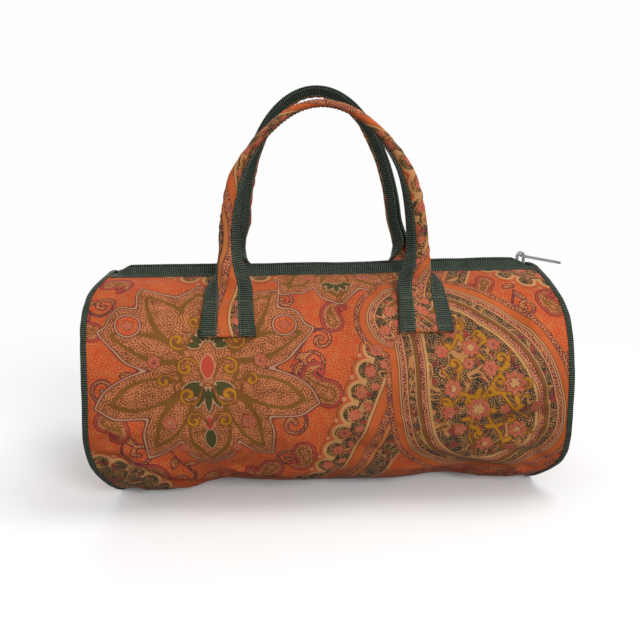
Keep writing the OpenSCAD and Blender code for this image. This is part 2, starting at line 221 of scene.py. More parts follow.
# half of another medallion under the lip
crown = dict(place=(6.0, -4.0), heart=20,
             petals=((90, 46, 15, 0, 2), (52, 48, 13, 6, 0), (16, 54, 14, 4, 0)),
             fan=(0, 22, 90, 5, 26, 10, 1.6), flower=(17, 20, 4.2, 7), waveHigh=0.8, wave=0.5)


def mirroredOn(piece, u, v):
    return np.abs(u - piece["place"][0]), v - piece["place"][1]


def medallionFields(u, v):
    x, y = mirroredOn(medallion, u, v)
    crownX, crownY = mirroredOn(crown, u, v)
    fromVolute = np.hypot(x - medallion["volute"][0], y - medallion["volute"][1])
    petals = lobed(x, y, medallion["petals"], medallion["heart"])
    whole = softMin(petals, fromVolute - medallion["voluteRim"], 4)
    whole += medallion["waveHigh"] * np.sin(np.arctan2(y, x) * medallion["wavelets"])
    half = lobed(crownX, crownY, crown["petals"], crown["heart"])
    half += crown["waveHigh"] * np.sin(u * crown["wave"])
    fans = [palmette(x, y, *one) for one in medallion["fans"]]
    fans += [palmette(crownX, crownY, *crown["fan"]), leaf(x, y, *medallion["bud"])]
    return dict(medallion=np.clip(np.minimum(whole, half), -30, 30),
                volute=fromVolute - medallion["voluteEye"], fan=nearest(fans),
                jewel=nearest(leaf(x, y, *one) for one in medallion["jewels"]),
                scroll=nearest(beads(x, y, curl(*one)) for one in medallion["curls"]))


# diagonal band of scallops, and rounds: middle, radius, first and last angle, number and size of scallops
band = dict(low=(-8.0, 214.0), high=(76.0, -4.0), pitch=14.0, scallopAt=17, scallop=8.6, fillAt=10, fill=8,
            eyeletAt=24.2, eyeletOut=6.6, roses=((0.0, 15.5, 4.4), (6.5, 9.0, 3.2)),
            rounds=((-162, 196, 52, -92, 30, 11, 8.2), (-66, -46, 62, 25, 155, 10, 8.4),
                    (148, -14, 42, 70, 190, 7, 8.0), (30, 242, 40, 190, 350, 9, 8.0)))


def bandFrame():
    low, high = np.array(band["low"]), np.array(band["high"])
    way = unit(high - low)
    return low, way, np.array([way[1], -way[0]])


def onBand(u, v):
    low, way, side = bandFrame()
    return (u - low[0]) * way[0] + (v - low[1]) * way[1], (u - low[0]) * side[0] + (v - low[1]) * side[1]


def bandFields(u, v):
    along, off = onBand(u, v)
    pitch = band["pitch"]
    fromScallop = along - pitch * np.round(along / pitch)
    fromEyelet = np.abs(along / pitch - np.floor(along / pitch) - 0.5) * pitch
    edges = [np.hypot(fromScallop, off - band["scallopAt"]) - band["scallop"],
             np.abs(off - band["fillAt"]) - band["fill"]]
    eyelets = [np.hypot(fromEyelet, off - band["eyeletAt"])]
    for cx, cy, rad, first, last, count, size in band["rounds"]:
        edges.append(np.hypot(u - cx, v - cy) - rad)
        angles = np.radians(np.linspace(first, last, count))
        for a in angles:
            edges.append(np.hypot(u - cx - rad * np.cos(a), v - cy - rad * np.sin(a)) - size)
        far = rad + band["eyeletOut"]
        for a in (angles[1:] + angles[:-1]) / 2:
            eyelets.append(np.hypot(u - cx - far * np.cos(a), v - cy - far * np.sin(a)))
    return dict(diagonal=off, scallop=nearest(edges), eyelet=nearest(eyelets))


# large boteh along a spine of x, y and half width
boteh = dict(spine=((95, 122, 49), (91, 106, 48), (83, 84, 41), (69, 62, 30), (53, 49, 19.5), (40, 49, 12.5),
                    (33, 58, 8.4), (36, 68, 5.4), (43, 69, 2.4)), count=150)
# spray inside it: stems by points, curls by middle, size, start and hand, leaves by root and turn
spray = dict(
    stems=(((94, 86, 0.5), (88, 80, 0.8), (80, 72, 0.8), (70, 64, 0.7), (60, 56, 0.4)),
           ((88, 80, 0.6), (96, 74, 0.6), (104, 78, 0.3)), ((78, 71, 0.6), (74, 78, 0.6), (66, 82, 0.3)),
           ((92, 108, 0.5), (100, 98, 0.6), (108, 88, 0.5), (110, 80, 0.3)),
           ((68, 92, 0.5), (80, 106, 0.8), (92, 108, 0.8), (104, 106, 0.7), (120, 108, 0.4)),
           ((92, 108, 0.7), (98, 124, 0.7), (106, 136, 0.6), (108, 148, 0.3)),
           ((82, 106, 0.6), (87, 118, 0.6), (86, 134, 0.5), (92, 150, 0.3)),
           ((80, 106, 0.5), (72, 116, 0.5), (68, 130, 0.3)),
           ((104, 106, 0.5), (112, 116, 0.5), (122, 124, 0.3)),
           ((76, 100, 0.5), (80, 90, 0.5), (90, 84, 0.3))),
    curlTurns=1.0, curlThick=0.6, curlTail=5, leafLong=6.5, leafWide=1.2,
    curls=((92, 69, 3.8, 120, 1), (71, 77, 3.6, 200, -1), (80, 64, 3.4, 300, 1), (104, 85, 3.8, 30, -1),
           (103, 99, 4.4, 140, 1), (85, 112, 3.8, 300, -1), (111, 124, 4, 220, 1), (75, 88, 4, 60, -1),
           (119, 100, 4, 120, -1), (92, 134, 4, 30, 1), (70, 112, 3.6, 200, 1), (120, 134, 3.6, 320, -1)),
    leaves=((84, 76, 60), (84, 76, 330), (76, 69, 20), (76, 69, 250), (68, 62, 80), (96, 74, 250),
            (104, 92, 330), (104, 92, 200), (76, 101, 200), (88, 108, 60), (88, 108, 300), (100, 107, 240),
            (112, 107, 70), (95, 116, 10), (95, 116, 150), (101, 129, 190), (101, 129, 340), (86, 122, 170),
            (86, 128, 20), (107, 141, 330), (74, 113, 100), (112, 116, 330)))


def botehFields(u, v):
    parts = [beads(u, v, curveThrough(one, 36)) for one in spray["stems"]]
    for x, y, size, start, hand in spray["curls"]:
        line = curl(x, y, size, spray["curlTurns"], start, hand, spray["curlThick"], spray["curlTail"])
        parts.append(beads(u, v, line))
    parts += [leaf(u, v, *one, spray["leafLong"], spray["leafWide"]) for one in spray["leaves"]]
    whole = beads(u, v, curveThrough(boteh["spine"], boteh["count"]))
    return dict(boteh=np.clip(whole, -60, 40), spray=nearest(parts))


# small curled botehs over the ground: place, turn and size
smallBoteh = dict(
    spine=((0, 0, 5.2), (4, -4, 4.4), (8.5, -5.5, 3.0), (12, -3, 1.9), (11.5, 0.5, 1.2), (9.2, 0.2, 0.6)),
    count=22,
    places=((-2, 104, 250, 1.5), (-18, 142, 120, 1.3), (-136, 118, 70, 1.2), (-143, 62, 250, 1.1),
            (2, 58, 300, 1.2), (-122, 158, 20, 1.3), (-38, 160, 165, 1.3), (-78, 176, 200, 1.2),
            (140, 186, 210, 1.2), (98, 190, 30, 1.2), (58, 188, 190, 1.1), (-4, 184, 60, 1.1),
            (104, 26, 160, 1.1), (-140, 20, 40, 1.1), (142, 52, 280, 1.1)))
# tendrils, each a curl by middle, size, start and hand, with two leaves on its tail
tendril = dict(
    turns=1.25, thick=0.95, tail=24, leaves=((3, 50), (7, -60)), leafLong=9, leafWide=1.9,
    places=((-137, 98, 9, 40, 1), (-118, 140, 10, 190, -1), (-96, 166, 9, 330, 1), (-24, 122, 10, 250, 1),
            (-12, 84, 9, 100, -1), (-28, 148, 8, 60, 1), (-138, 42, 9, 140, -1), (-6, 70, 8, 210, 1),
            (120, 182, 9, 20, -1), (78, 192, 8, 160, 1), (146, 164, 8, 300, 1), (26, 196, 8, 40, -1),
            (-58, 184, 9, 80, 1), (-112, 186, 8, 10, -1), (146, 88, 7, 90, 1), (-28, 40, 8, 160, 1),
            (124, 50, 8, 200, -1), (-134, 176, 8, 100, 1)))


def groundFields(u, v):
    small = curveThrough(smallBoteh["spine"], smallBoteh["count"])
    stems = []
    for x, y, size, start, hand in tendril["places"]:
        line = curl(x, y, size, tendril["turns"], start, hand, tendril["thick"], tendril["tail"])
        stems.append(beads(u, v, line))
        for k, lean in tendril["leaves"]:
            d = line[k + 1, :2] - line[k, :2]
            turn = math.degrees(math.atan2(d[1], d[0])) + lean
            stems.append(leaf(u, v, line[k, 0], line[k, 1], turn, tendril["leafLong"], tendril["leafWide"]))
    return dict(small=nearest(beads(u, v, turned(small, *one)) for one in smallBoteh["places"]),
                stem=nearest(stems))


# flowers: place, size and petals
flower = dict(places=(
    (112, 100, 7.4, 8), (90, 116, 7.8, 9), (116, 132, 6.4, 7), (96, 142, 6, 7), (74, 103, 5.8, 7),
    (97, 91, 5.2, 6), (86, 78, 6, 8), (74, 67, 5, 6), (100, 76, 4.4, 6), (64, 58, 4, 5), (72, 118, 4.6, 6),
    (126, 116, 4.6, 6), (68, 80, 4.4, 6), (80, 130, 4.4, 5), (106, 116, 3.6, 5), (112, 146, 4, 6),
    (84, 88, 3.8, 6), (-58, 6, 5.5, 7), (-84, 8, 5, 6), (-36, -2, 4, 6), (-104, 4, 4, 6), (-142, 196, 6, 7),
    (-130, 186, 4.4, 6), (-148, 180, 4.4, 6), (134, 10, 6, 7), (118, 6, 4, 6), (146, 20, 4.5, 6),
    (16, 212, 5, 6), (36, 212, 5, 6), (-4, 222, 4, 6)))


def flowerField(u, v):
    heads = [rosette(u, v, *one) for one in flower["places"]]
    heads += [rosette(*mirroredOn(medallion, u, v), *one) for one in medallion["flowers"]]
    heads.append(rosette(*mirroredOn(crown, u, v), *crown["flower"]))
    along, off = onBand(u, v)
    pitch = band["pitch"]
    odd = np.mod(np.round(along / pitch), 2)
    for shift, high, size in band["roses"]:
        near = along - pitch * np.round((along - shift) / pitch) - shift
        heads.append(rosette(near, off, 0, high - odd, size - 0.5 * odd, 6))
    return dict(flower=nearest(heads))


# the print on one piece of cloth
def layPrint(obj, u, v):
    layFlat(obj, u, v)
    u, v = np.ravel(u).astype(float), np.ravel(v).astype(float)
    for part in (medallionFields, bandFields, botehFields, groundFields, flowerField):
        for name, values in part(u, v).items():
            pointField(obj, name, values)


# the bag's own section: distance from the middle and height at angle w, 0 under the base
wLip = 180 - math.degrees(math.asin(bag["lipGap"] / bag["halfDepth"]))


def sectionPoint(x, w):
    r = np.radians(w)
    y = bag["halfDepth"] * np.sin(r)
    z = np.maximum(0, middleZ - bag["halfHeight"] * np.cos(r))
    rise = bag["lipHeight"] * smooth((lipEnd - np.abs(x)) / bag["lipFade"])
    run = np.clip((y - bag["lipGap"]) / (1.1 * bag["lipHeight"]), 0, 1)
    return y, z + np.where(np.asarray(w) > 90, rise * (1 - run) ** 1.3, 0)


fineW = wLip * (1 - np.linspace(0, 1, 1600)) ** 0.75
fineY, fineZ = sectionPoint(0, fineW)
fineS = runOf(np.stack([fineY, fineZ], -1))


# place on the plain barrel at length s from the lip, raised by lift, and the outward way there
def barrelAt(s, lift):
    y, z = np.interp(s, fineS, fineY), np.interp(s, fineS, fineZ)
    dy = np.interp(s + 0.5, fineS, fineY) - np.interp(s - 0.5, fineS, fineY)
    dz = np.interp(s + 0.5, fineS, fineZ) - np.interp(s - 0.5, fineS, fineZ)
    n = np.hypot(dy, dz)
    return np.array([y - dz / n * lift, z + dy / n * lift]), np.array([0.0, dz / n, dy / n])


# how the filled bag stands off its plain barrel; a fade is its start, as length from the lip, and its run
# folds are middle, direction, length, width and height
sag = dict(folds=((118, 108, -26, 24, 6, 3.2), (124, 138, -12, 28, 5.5, 2.8), (92, 152, 14, 30, 6, 2.4),
                  (-104, 158, 32, 28, 6, 3.2), (-130, 128, 56, 24, 5.5, 2.2), (-20, 166, -8, 36, 7, 2.2),
                  (34, 30, 76, 14, 4, 1.5), (-6, 96, 62, 30, 8, 1.7), (130, 58, 64, 26, 6, 2.2),
                  (-128, 50, 112, 24, 6, 2.0), (20, 130, 28, 28, 7, 1.6), (-62, 140, -20, 26, 7, 1.6)),
           bend=2.5, bendWave=13, swell=2.8, swellCell=52, crease=2.4, creaseCell=19, wrinkle=0.45,
           wrinkleCell=12, pucker=1.6, puckerWave=2.6, puckerCell=30, puckerReach=26, puckerFade=(80, 60),
           seamDip=1.1, seamReach=9, gather=0.5, gatherCell=9, gatherAt=16, gatherReach=12, archLift=3.1,
           archFrom=-95.0, archTo=98.0, archFade=38.0, archHumps=((-72, 18, 1.7), (84, 20, 1.5)),
           archDown=(138, 52), cornerOut=3, cornerS=196, cornerReach=26, footX=61.0, footS=55.0,
           footReach=24, footFade=(0.85, 0.7), endRun=16, lipFade=(9, 14), lowFade=(118, 60),
           baseFade=(168, 30), baseCalm=0.85)
# the lip's long waves: place, reach and height
lipLine = dict(waves=((108, 34, 0.6), (-112, 36, -0.3), (4, 60, -0.9)), ripple=0.4, rippleCell=17, deep=14,
               endRun=20)


def humps(x, places):
    return sum(high * bump(x - at, reach) for at, reach, high in places)


def lipWave(x):
    return humps(x, lipLine["waves"]) + lipLine["ripple"] * cloudy(x, 0 * x, lipLine["rippleCell"], 5)


def longFolds(x, s):
    out = 0 * x
    for fx, fs, turn, reach, wide, high in sag["folds"]:
        c, d = math.cos(math.radians(turn)), math.sin(math.radians(turn))
        along = (x - fx) * c + (s - fs) * d
        off = (s - fs) * c - (x - fx) * d + sag["bend"] * np.sin(along / sag["bendWave"] + fx)
        out = out + high * (bump(off, wide) - 0.7 * bump(off - 1.9 * wide, wide)) * bump(along, reach)
    return out


# folds running off the two places where the base starts to bow
def cornerFolds(x, s):
    out = 0 * x
    for fx, way in ((sag["archFrom"] - sag["cornerOut"], 1), (sag["archTo"] + sag["cornerOut"], -1)):
        along = (x - fx) * way * 0.8 + (s - sag["cornerS"]) * 0.75
        off = (x - fx) * way * 0.75 - (s - sag["cornerS"]) * 0.8
        out = out + (1.8 * bump(off - 5, 7) - 1.6 * bump(off + 5, 5)) * bump(along + 6, sag["cornerReach"])
    return out


# how far out and how far up the cloth goes, at x along the bag and s down from the lip
def bagShape(x, s, isBack):
    seed = 40 if isBack else 20
    toEnd = lipEnd - np.abs(x)
    calm = ramp(toEnd, 1, sag["endRun"])
    toFoot = np.hypot((np.abs(x) - sag["footX"]) / sag["footReach"], (s - sag["footS"]) / sag["footReach"])
    foot = ramp(toFoot, *sag["footFade"])
    lip, low = ramp(s, *sag["lipFade"]), ramp(s, *sag["lowFade"])
    flatBase = 1 - sag["baseCalm"] * ramp(s, *sag["baseFade"])
    out = sag["swell"] * cloudy(x, s * 1.2, sag["swellCell"], seed) * calm
    ridge = 1 - np.abs(cloudy(x * 0.55 + s * 0.5, s - x * 0.35, sag["creaseCell"], seed + 1))
    out += sag["crease"] * (ridge ** 2 - 0.5) * calm * (0.45 + 0.8 * low) * flatBase
    ridge = 1 - np.abs(cloudy(x * 0.8 - s * 0.35, s + x * 0.2, sag["wrinkleCell"], seed + 2))
    out += sag["wrinkle"] * (ridge ** 3 - 0.3) * calm
    # gathers where the ends are sewn in, strongest low down
    wave = np.sin(s / sag["puckerWave"] + 2.4 * cloudy(x, s, sag["puckerCell"], seed + 3) + np.sign(x))
    wave = wave * bump(toEnd + 2, sag["puckerReach"]) * smooth(toEnd / 5)
    out += sag["pucker"] * wave * (0.25 + 0.75 * ramp(s, *sag["puckerFade"])) * flatBase
    out -= sag["seamDip"] * bump(toEnd, sag["seamReach"]) * smooth(toEnd / 3) * lip
    # small gathers under the lip
    gather = cloudy(x, s * 0.15, sag["gatherCell"], seed + 4) * bump(s - sag["gatherAt"], sag["gatherReach"])
    out += sag["gather"] * gather * lip * calm
    out += cornerFolds(x, s) * low * calm + longFolds(x, s) * calm
    # the base bows up between its two ends
    arch = smooth((x - sag["archFrom"]) / sag["archFade"] + 0.5)
    arch = arch * smooth((sag["archTo"] - x) / sag["archFade"] + 0.5) * ramp(s, *sag["archDown"])
    return out * foot * lip * calm, (sag["archLift"] + humps(x, sag["archHumps"])) * arch * calm


# each end's rim by angle from under the base: tucked in, full, full again higher up, drawn in at the lip
rim = dict(left=dict(tuck=6.2, tuckTo=62, tuckFade=36, low=3.0, lowAt=72, high=2.2, highAt=138,
                     lip=5.5, lipFrom=148, lipFade=28),
           right=dict(tuck=6.6, tuckTo=56, tuckFade=26, low=3.0, lowAt=60, high=1.2, highAt=128,
                      lip=5.3, lipFrom=132, lipFade=36),
           lowReach=19, highReach=23, start=80, run=68, whole=0.94)


def rimReach(angle, side):
    full = side["low"] * bump(angle - side["lowAt"], rim["lowReach"]) \
        + side["high"] * bump(angle - side["highAt"], rim["highReach"])
    return full - side["tuck"] * smooth((side["tuckTo"] - angle) / side["tuckFade"]) \
        - side["lip"] * ramp(angle, side["lipFrom"], side["lipFade"])


# moves the ends' points, from nothing at the middle of each round end
def settle(points):
    points = np.reshape(points, (-1, 3)).astype(float)
    x = points[:, 0]
    across, up = points[:, 1] / bag["halfDepth"], (points[:, 2] - middleZ) / bag["halfHeight"]
    angle = np.degrees(np.arctan2(np.abs(across), -up))
    reach = np.where(x > 0, rimReach(angle, rim["right"]), rimReach(angle, rim["left"]))
    reach = reach * smooth(np.hypot(across, up) / rim["whole"])
    points[:, 0] += np.sign(x) * reach * ramp(np.abs(x), rim["start"], rim["run"])
    return points


# body cloth: one panel from the front lip, under the base, to the back lip
bodyCloth = dict(halfLength=149.3, alongCount=246, roundCount=170, crowd=0.86, joinCount=12)


def bodySide(x, w, s, isBack):
    y, z = sectionPoint(x, w)
    out, up = bagShape(x, s, isBack)
    ny, nz = np.sin(np.radians(w)) / bag["halfDepth"], -np.cos(np.radians(w)) / bag["halfHeight"]
    length = np.hypot(ny, nz)
    z = np.maximum(0, z + out * nz / length + up)
    lip = lipWave(x) * bump(s, lipLine["deep"]) * smooth((lipEnd - np.abs(x)) / lipLine["endRun"])
    return y + out * ny / length, z + lip


def makeBody():
    rows, cols, join = bodyCloth["alongCount"], bodyCloth["roundCount"], bodyCloth["joinCount"]
    w = wLip * (1 - np.linspace(0, 1, cols + 1)) ** bodyCloth["crowd"]
    x = np.linspace(-bodyCloth["halfLength"], bodyCloth["halfLength"], rows)
    x, w = np.meshgrid(x, w, indexing="ij")
    s = np.interp(-w, -fineW, fineS)
    frontY, frontZ = bodySide(x, w, s, False)
    backY, backZ = bodySide(x, w, s, True)
    # the two halves meet under the base
    near = smooth(np.linspace(0, 1, join))
    frontZ[:, -join:] += (backZ[:, -join:] - frontZ[:, -join:]) * near * 0.5
    backZ[:, -join:] += (frontZ[:, -join:] - backZ[:, -join:]) * near
    front, back = np.stack([x, -frontY, frontZ], -1), np.stack([x, backY, backZ], -1)
    points = settle(np.concatenate([front, back[:, -2::-1]], 1))
    piece = makePiece("bodyCloth", ["body_panel"], points, gridFaces(rows, 2 * cols + 1))
    layPrint(piece, np.concatenate([x, -x[:, :-1]], 1), np.concatenate([s, s[:, -2::-1]], 1))
    return piece


bodyPiece = makeBody()
print("body cloth", len(bodyPiece.data.polygons))

# round ends: flat cloth turned out into the seam, standing a little proud in the middle
endCloth = dict(rings=46, round=220, crown=3.2, face=145.0, inset=3.25, flat=(0.157, 0.151), area=0.0186,
                printLeft=-76, printRight=86, printDown=100, printWide=0.98, puff=0.8, puffCell=30,
                wrinkle=0.35, wrinkleCell=12, tucks=31, tuckHigh=0.35, tuckAt=0.93, tuckReach=0.06,
                turnShare=(0.955, 0.968, 0.98, 0.989, 0.995, 0.999, 1.0),
                turnOut=(0, 0.15, 0.5, 1.1, 2.0, 3.2, 4.4))


def endOutline(inset, count):
    w = np.radians(np.linspace(0, 360, count, endpoint=False))
    return (bag["halfDepth"] - inset) * np.sin(w), \
        np.maximum(inset, middleZ - (bag["halfHeight"] - inset) * np.cos(w))


def makeEnd(name, side, node):
    count, rings, turnShare = endCloth["round"], endCloth["rings"], endCloth["turnShare"]
    outY, outZ = endOutline(endCloth["inset"], count)
    k = np.append(np.linspace(0.004, turnShare[0], rings - len(turnShare) + 1), turnShare[1:])[:, None]
    y, z = outY * k, middleZ + (outZ - middleZ) * k
    x = endCloth["face"] + endCloth["crown"] * (1 - k ** 2.2) * np.ones_like(outY)
    soft = endCloth["puff"] * cloudy(y, z, endCloth["puffCell"], 61)
    soft += endCloth["wrinkle"] * cloudy(y, z, endCloth["wrinkleCell"], 62)
    tucks = np.sin(np.linspace(0, 2 * math.pi, count) * endCloth["tucks"])
    x += soft * smooth((1 - k) / 0.25)
    x += endCloth["tuckHigh"] * tucks * bump(k - endCloth["tuckAt"], endCloth["tuckReach"])
    x += np.interp(k, turnShare, endCloth["turnOut"])
    points = np.stack([side * x, y, z], -1).reshape(-1, 3)
    points = np.append(points, [[side * (endCloth["face"] + endCloth["crown"]), 0, middleZ]], 0)
    faces = gridFaces(rings, count, closeCols=True)
    faces += [[rings * count, c, (c + 1) % count] for c in range(count)]
    piece = makePiece(name, [node], settle(points), faces, flip=side < 0)
    along = endCloth["printRight"] if side > 0 else endCloth["printLeft"]
    layPrint(piece, along + side * endCloth["printWide"] * points[:, 1],
             endCloth["printDown"] - points[:, 2] + middleZ)
    return piece


leftEnd = makeEnd("leftEndCloth", -1, "left_end_panel")
rightEnd = makeEnd("rightEndCloth", 1, "right_end_panel")
print("round ends")

# bindings: ribbon folded over each end seam; section points are x and height over the seam
binding = dict(round=300, steps=40, girth=470, ripple=0.22, rippleCell=7, outerFrom=149,
               section=((146.3, 0.1), (146.5, 0.58), (147.0, 0.76), (147.9, 0.84), (148.9, 0.8),
                        (149.7, 0.45), (150.15, -0.3), (150.3, -1.6), (150.15, -2.9), (149.7, -3.6),
                        (148.8, -3.95), (147.2, -4.0), (145.7, -3.9), (145.1, -3.6)))


def makeBinding(name, side, seed, node):
    count = binding["round"]
    fold = curveThrough(binding["section"], binding["steps"])
    along = np.linspace(0, binding["girth"], count, endpoint=False)
    points = []
    for i, (x, off) in enumerate(fold):
        y, z = endOutline(-off, count)
        ripple = binding["ripple"] * cloudy(along, 0 * along + i * 0.1, binding["rippleCell"], seed)
        x = x + ripple * (x > binding["outerFrom"])
        points.append(np.stack([side * x, y, np.maximum(0.0, z)], -1))
    around, across = runOf(np.stack(endOutline(0, count), -1)), runOf(fold)[:, None]
    return makeBand(name, "ribbon", node, settle(points), around, across, side > 0, (len(fold), count),
                    closeCols=True)


leftBinding = makeBinding("leftEndBinding", -1, 72, "left_end_binding")
rightBinding = makeBinding("rightEndBinding", 1, 71, "right_end_binding")
print("bindings")

# zip ribbons: folded over the two lips, wavering a little with the cloth
zipRibbon = dict(along=330, end=145.2, leg=10.0, tuck=4.0, lift=0.62, waver=0.35, waverCell=23, edgeDeep=0.7,
                 edgeRound=1.32, tuckDeep=1.3, pressAt=(0, 7, 9.3, 10), press=(1, 1, 0.8, 0.25),
                 measuredAt=160)


def makeZipRibbon(name, isBack, node):
    x = np.linspace(-zipRibbon["end"], zipRibbon["end"], zipRibbon["along"])
    waver = zipRibbon["waver"] * cloudy(x, 0 * x, zipRibbon["waverCell"], 81 + isBack)
    rows = []
    for s in np.append(np.linspace(zipRibbon["leg"], 0.9, 12), np.linspace(0.5, 0, 3)):
        down = s * (1 + waver * 0.2)
        here = np.stack(bodySide(x, np.interp(down, fineS, fineW), down, isBack), -1)
        below = np.stack(bodySide(x, np.interp(down + 0.6, fineS, fineW), down + 0.6, isBack), -1)
        way = unit(here - below)
        out = np.stack([way[:, 1], -way[:, 0]], -1)
        rows.append(here + out * zipRibbon["lift"] * np.interp(s, zipRibbon["pressAt"], zipRibbon["press"]))
    lipEdge = here - out * zipRibbon["edgeDeep"]
    for a in np.radians(np.linspace(80, -90, 9)):
        rows.append(lipEdge + zipRibbon["edgeRound"] * (out * math.sin(a) + way * math.cos(a) * 0.9))
    for d in np.linspace(0.6, zipRibbon["tuck"], 5):
        rows.append(lipEdge - out * zipRibbon["tuckDeep"] - way * d)
    rows = np.array(rows)
    hand = 1 if isBack else -1
    points = np.stack([np.broadcast_to(x, rows.shape[:2]), hand * rows[..., 0], rows[..., 1]], -1)
    across = runOf(rows[:, zipRibbon["measuredAt"]])[:, None]
    return makeBand(name, "ribbon", node, settle(points), x, across, not isBack, points.shape[:2])


frontLip = makeZipRibbon("frontZipRibbon", False, "front_zip_ribbon")
backLip = makeZipRibbon("backZipRibbon", True, "back_zip_ribbon")
print("zip ribbons")

# zip tapes and the coil between them: sections are distance from the middle and height over the tape
zipParts = dict(tapeEnd=139.4, tapeThick=0.55, tapeCount=200, tapeSteps=22, tapeWave=0.06, tapeWaveCell=15,
                meetFrom=129.6, meetRun=3, meetBy=1.8, meetTo=4.5, meetFade=2.4, teethEnd=124.8, pitch=2.4,
                wire=0.42, wireFlat=0.8, headWide=1.25, headTo=0.2, wireCount=8, coilSteps=26,
                tape=((2.1, 0), (4.0, 0), (5.9, 0.02), (6.9, 0.5), (8.4, 1.0), (9.9, 0.1)),
                coil=((3.3, 0.35), (2.2, 0.32), (0.8, 0.4), (-0.35, 0.75), (-0.55, 1.0), (-0.35, 1.3),
                      (0.8, 1.62), (2.2, 1.66), (3.3, 1.5), (3.55, 0.95)))


def makeTape(name, side, node):
    x = np.linspace(-zipParts["tapeEnd"], zipParts["tapeEnd"], zipParts["tapeCount"])
    path = curveThrough(zipParts["tape"], zipParts["tapeSteps"])
    ring = np.concatenate([path, path[::-1] - [0, zipParts["tapeThick"]]])
    # past the last tooth on the left the two tapes come together
    meet = ramp(-x, zipParts["meetFrom"], zipParts["meetRun"])
    meet = meet * smooth((zipParts["meetTo"] - ring[:, :1]) / zipParts["meetFade"])
    y = ring[:, :1] - zipParts["meetBy"] * meet
    z = tapeTop + ring[:, 1:] + zipParts["tapeWave"] * cloudy(x, 0 * x, zipParts["tapeWaveCell"], 91)
    points = np.stack([np.broadcast_to(x, y.shape), side * y, z], -1)
    return makeBand(name, "zip_tape", node, points, x, y, side < 0, points.shape[:2], closeRows=True)


def makeTeeth(name, side, offset, node):
    # each turn of the coil is a bent loop, closed over the tape and headed at the middle
    loop = curveThrough(zipParts["coil"], zipParts["coilSteps"])
    step = unit(np.roll(loop, -1, 0) - np.roll(loop, 1, 0))
    count = int((2 * zipParts["teethEnd"] - zipParts["pitch"] / 2) / zipParts["pitch"]) + 1
    a = np.linspace(0, 2 * math.pi, zipParts["wireCount"], endpoint=False)
    thick = zipParts["wire"] * np.sin(a) * zipParts["wireFlat"]
    x = np.where(loop[:, :1] < zipParts["headTo"], zipParts["headWide"], 1.0) * zipParts["wire"] * np.cos(a)
    y = side * (loop[:, :1] - step[:, 1:] * thick)
    turn = np.stack([x, y, tapeTop + loop[:, 1:] + step[:, :1] * thick], -1)
    points, faces = [], []
    for i in range(count):
        points.append(turn.reshape(-1, 3) + [-zipParts["teethEnd"] + offset + i * zipParts["pitch"], 0, 0])
        faces += gridFaces(len(loop), len(a), closeRows=True, closeCols=True, start=i * len(loop) * len(a))
    return makePiece(name, [node], np.concatenate(points), faces, flip=side > 0)


frontTape = makeTape("frontZipTape", -1, "front_zip_tape")
backTape = makeTape("backZipTape", 1, "back_zip_tape")
teeth = [makeTeeth("frontZipTeeth", -1, 0.0, "front_zip_teeth"),
         makeTeeth("backZipTeeth", 1, zipParts["pitch"] / 2, "back_zip_teeth")]
print("zip", sum(len(row.data.polygons) for row in teeth))

# handles: a strap with bound edges, flat at its feet and folded in two above them
handle = dict(width=34.0, feetApart=122.0, footTop=42.0, footLength=26.0, archHalf=60.0, archLift=18.5,
              limbOffset=31.0, archOffset=20.0, footSteps=16, limbSteps=44, archSteps=64, evenOver=9,
              leastDeep=0.4)
frontHandle = dict(isBack=False, rise=103.5, limbTurn=41.0, topTurn=-5.0, over=-0.2, close=0.06, full=0.035,
                   drawIn=0.0, up=1.6, slim=0.48, printStart=-172, printShift=-7, printSkew=0.06)
backHandle = dict(isBack=True, rise=110.5, limbTurn=-28.0, topTurn=-30.0, over=1.6, close=0.02, full=0.0,
                  drawIn=0.115, up=4.0, slim=0.48, printStart=-196, printShift=14, printSkew=-0.07)
seat = dict(foot=0.4, ribbon=0.2, edgeGap=0.3)
ribbonLift = bag["cloth"] / 2 + seat["ribbon"] + bag["ribbon"]      # outside of an edge ribbon
footLift = seat["foot"] + ribbonLift
strapHalf = handle["width"] / 2 - bag["ribbon"] - seat["ribbon"]
plainHalf = handle["width"] / 2 - bag["ribbonWidth"]
nose = 0.8 * plainHalf
leanIn = math.degrees((nose - (ribbonLift + seat["edgeGap"] / 2) * math.pi / 2) / (strapHalf - nose))


def evened(values):
    span = handle["evenOver"]
    return np.convolve(np.pad(values, span // 2, mode="edge"), np.ones(span) / span, "valid")


def thereAndBack(values):
    return np.concatenate([values, values[-2::-1]])


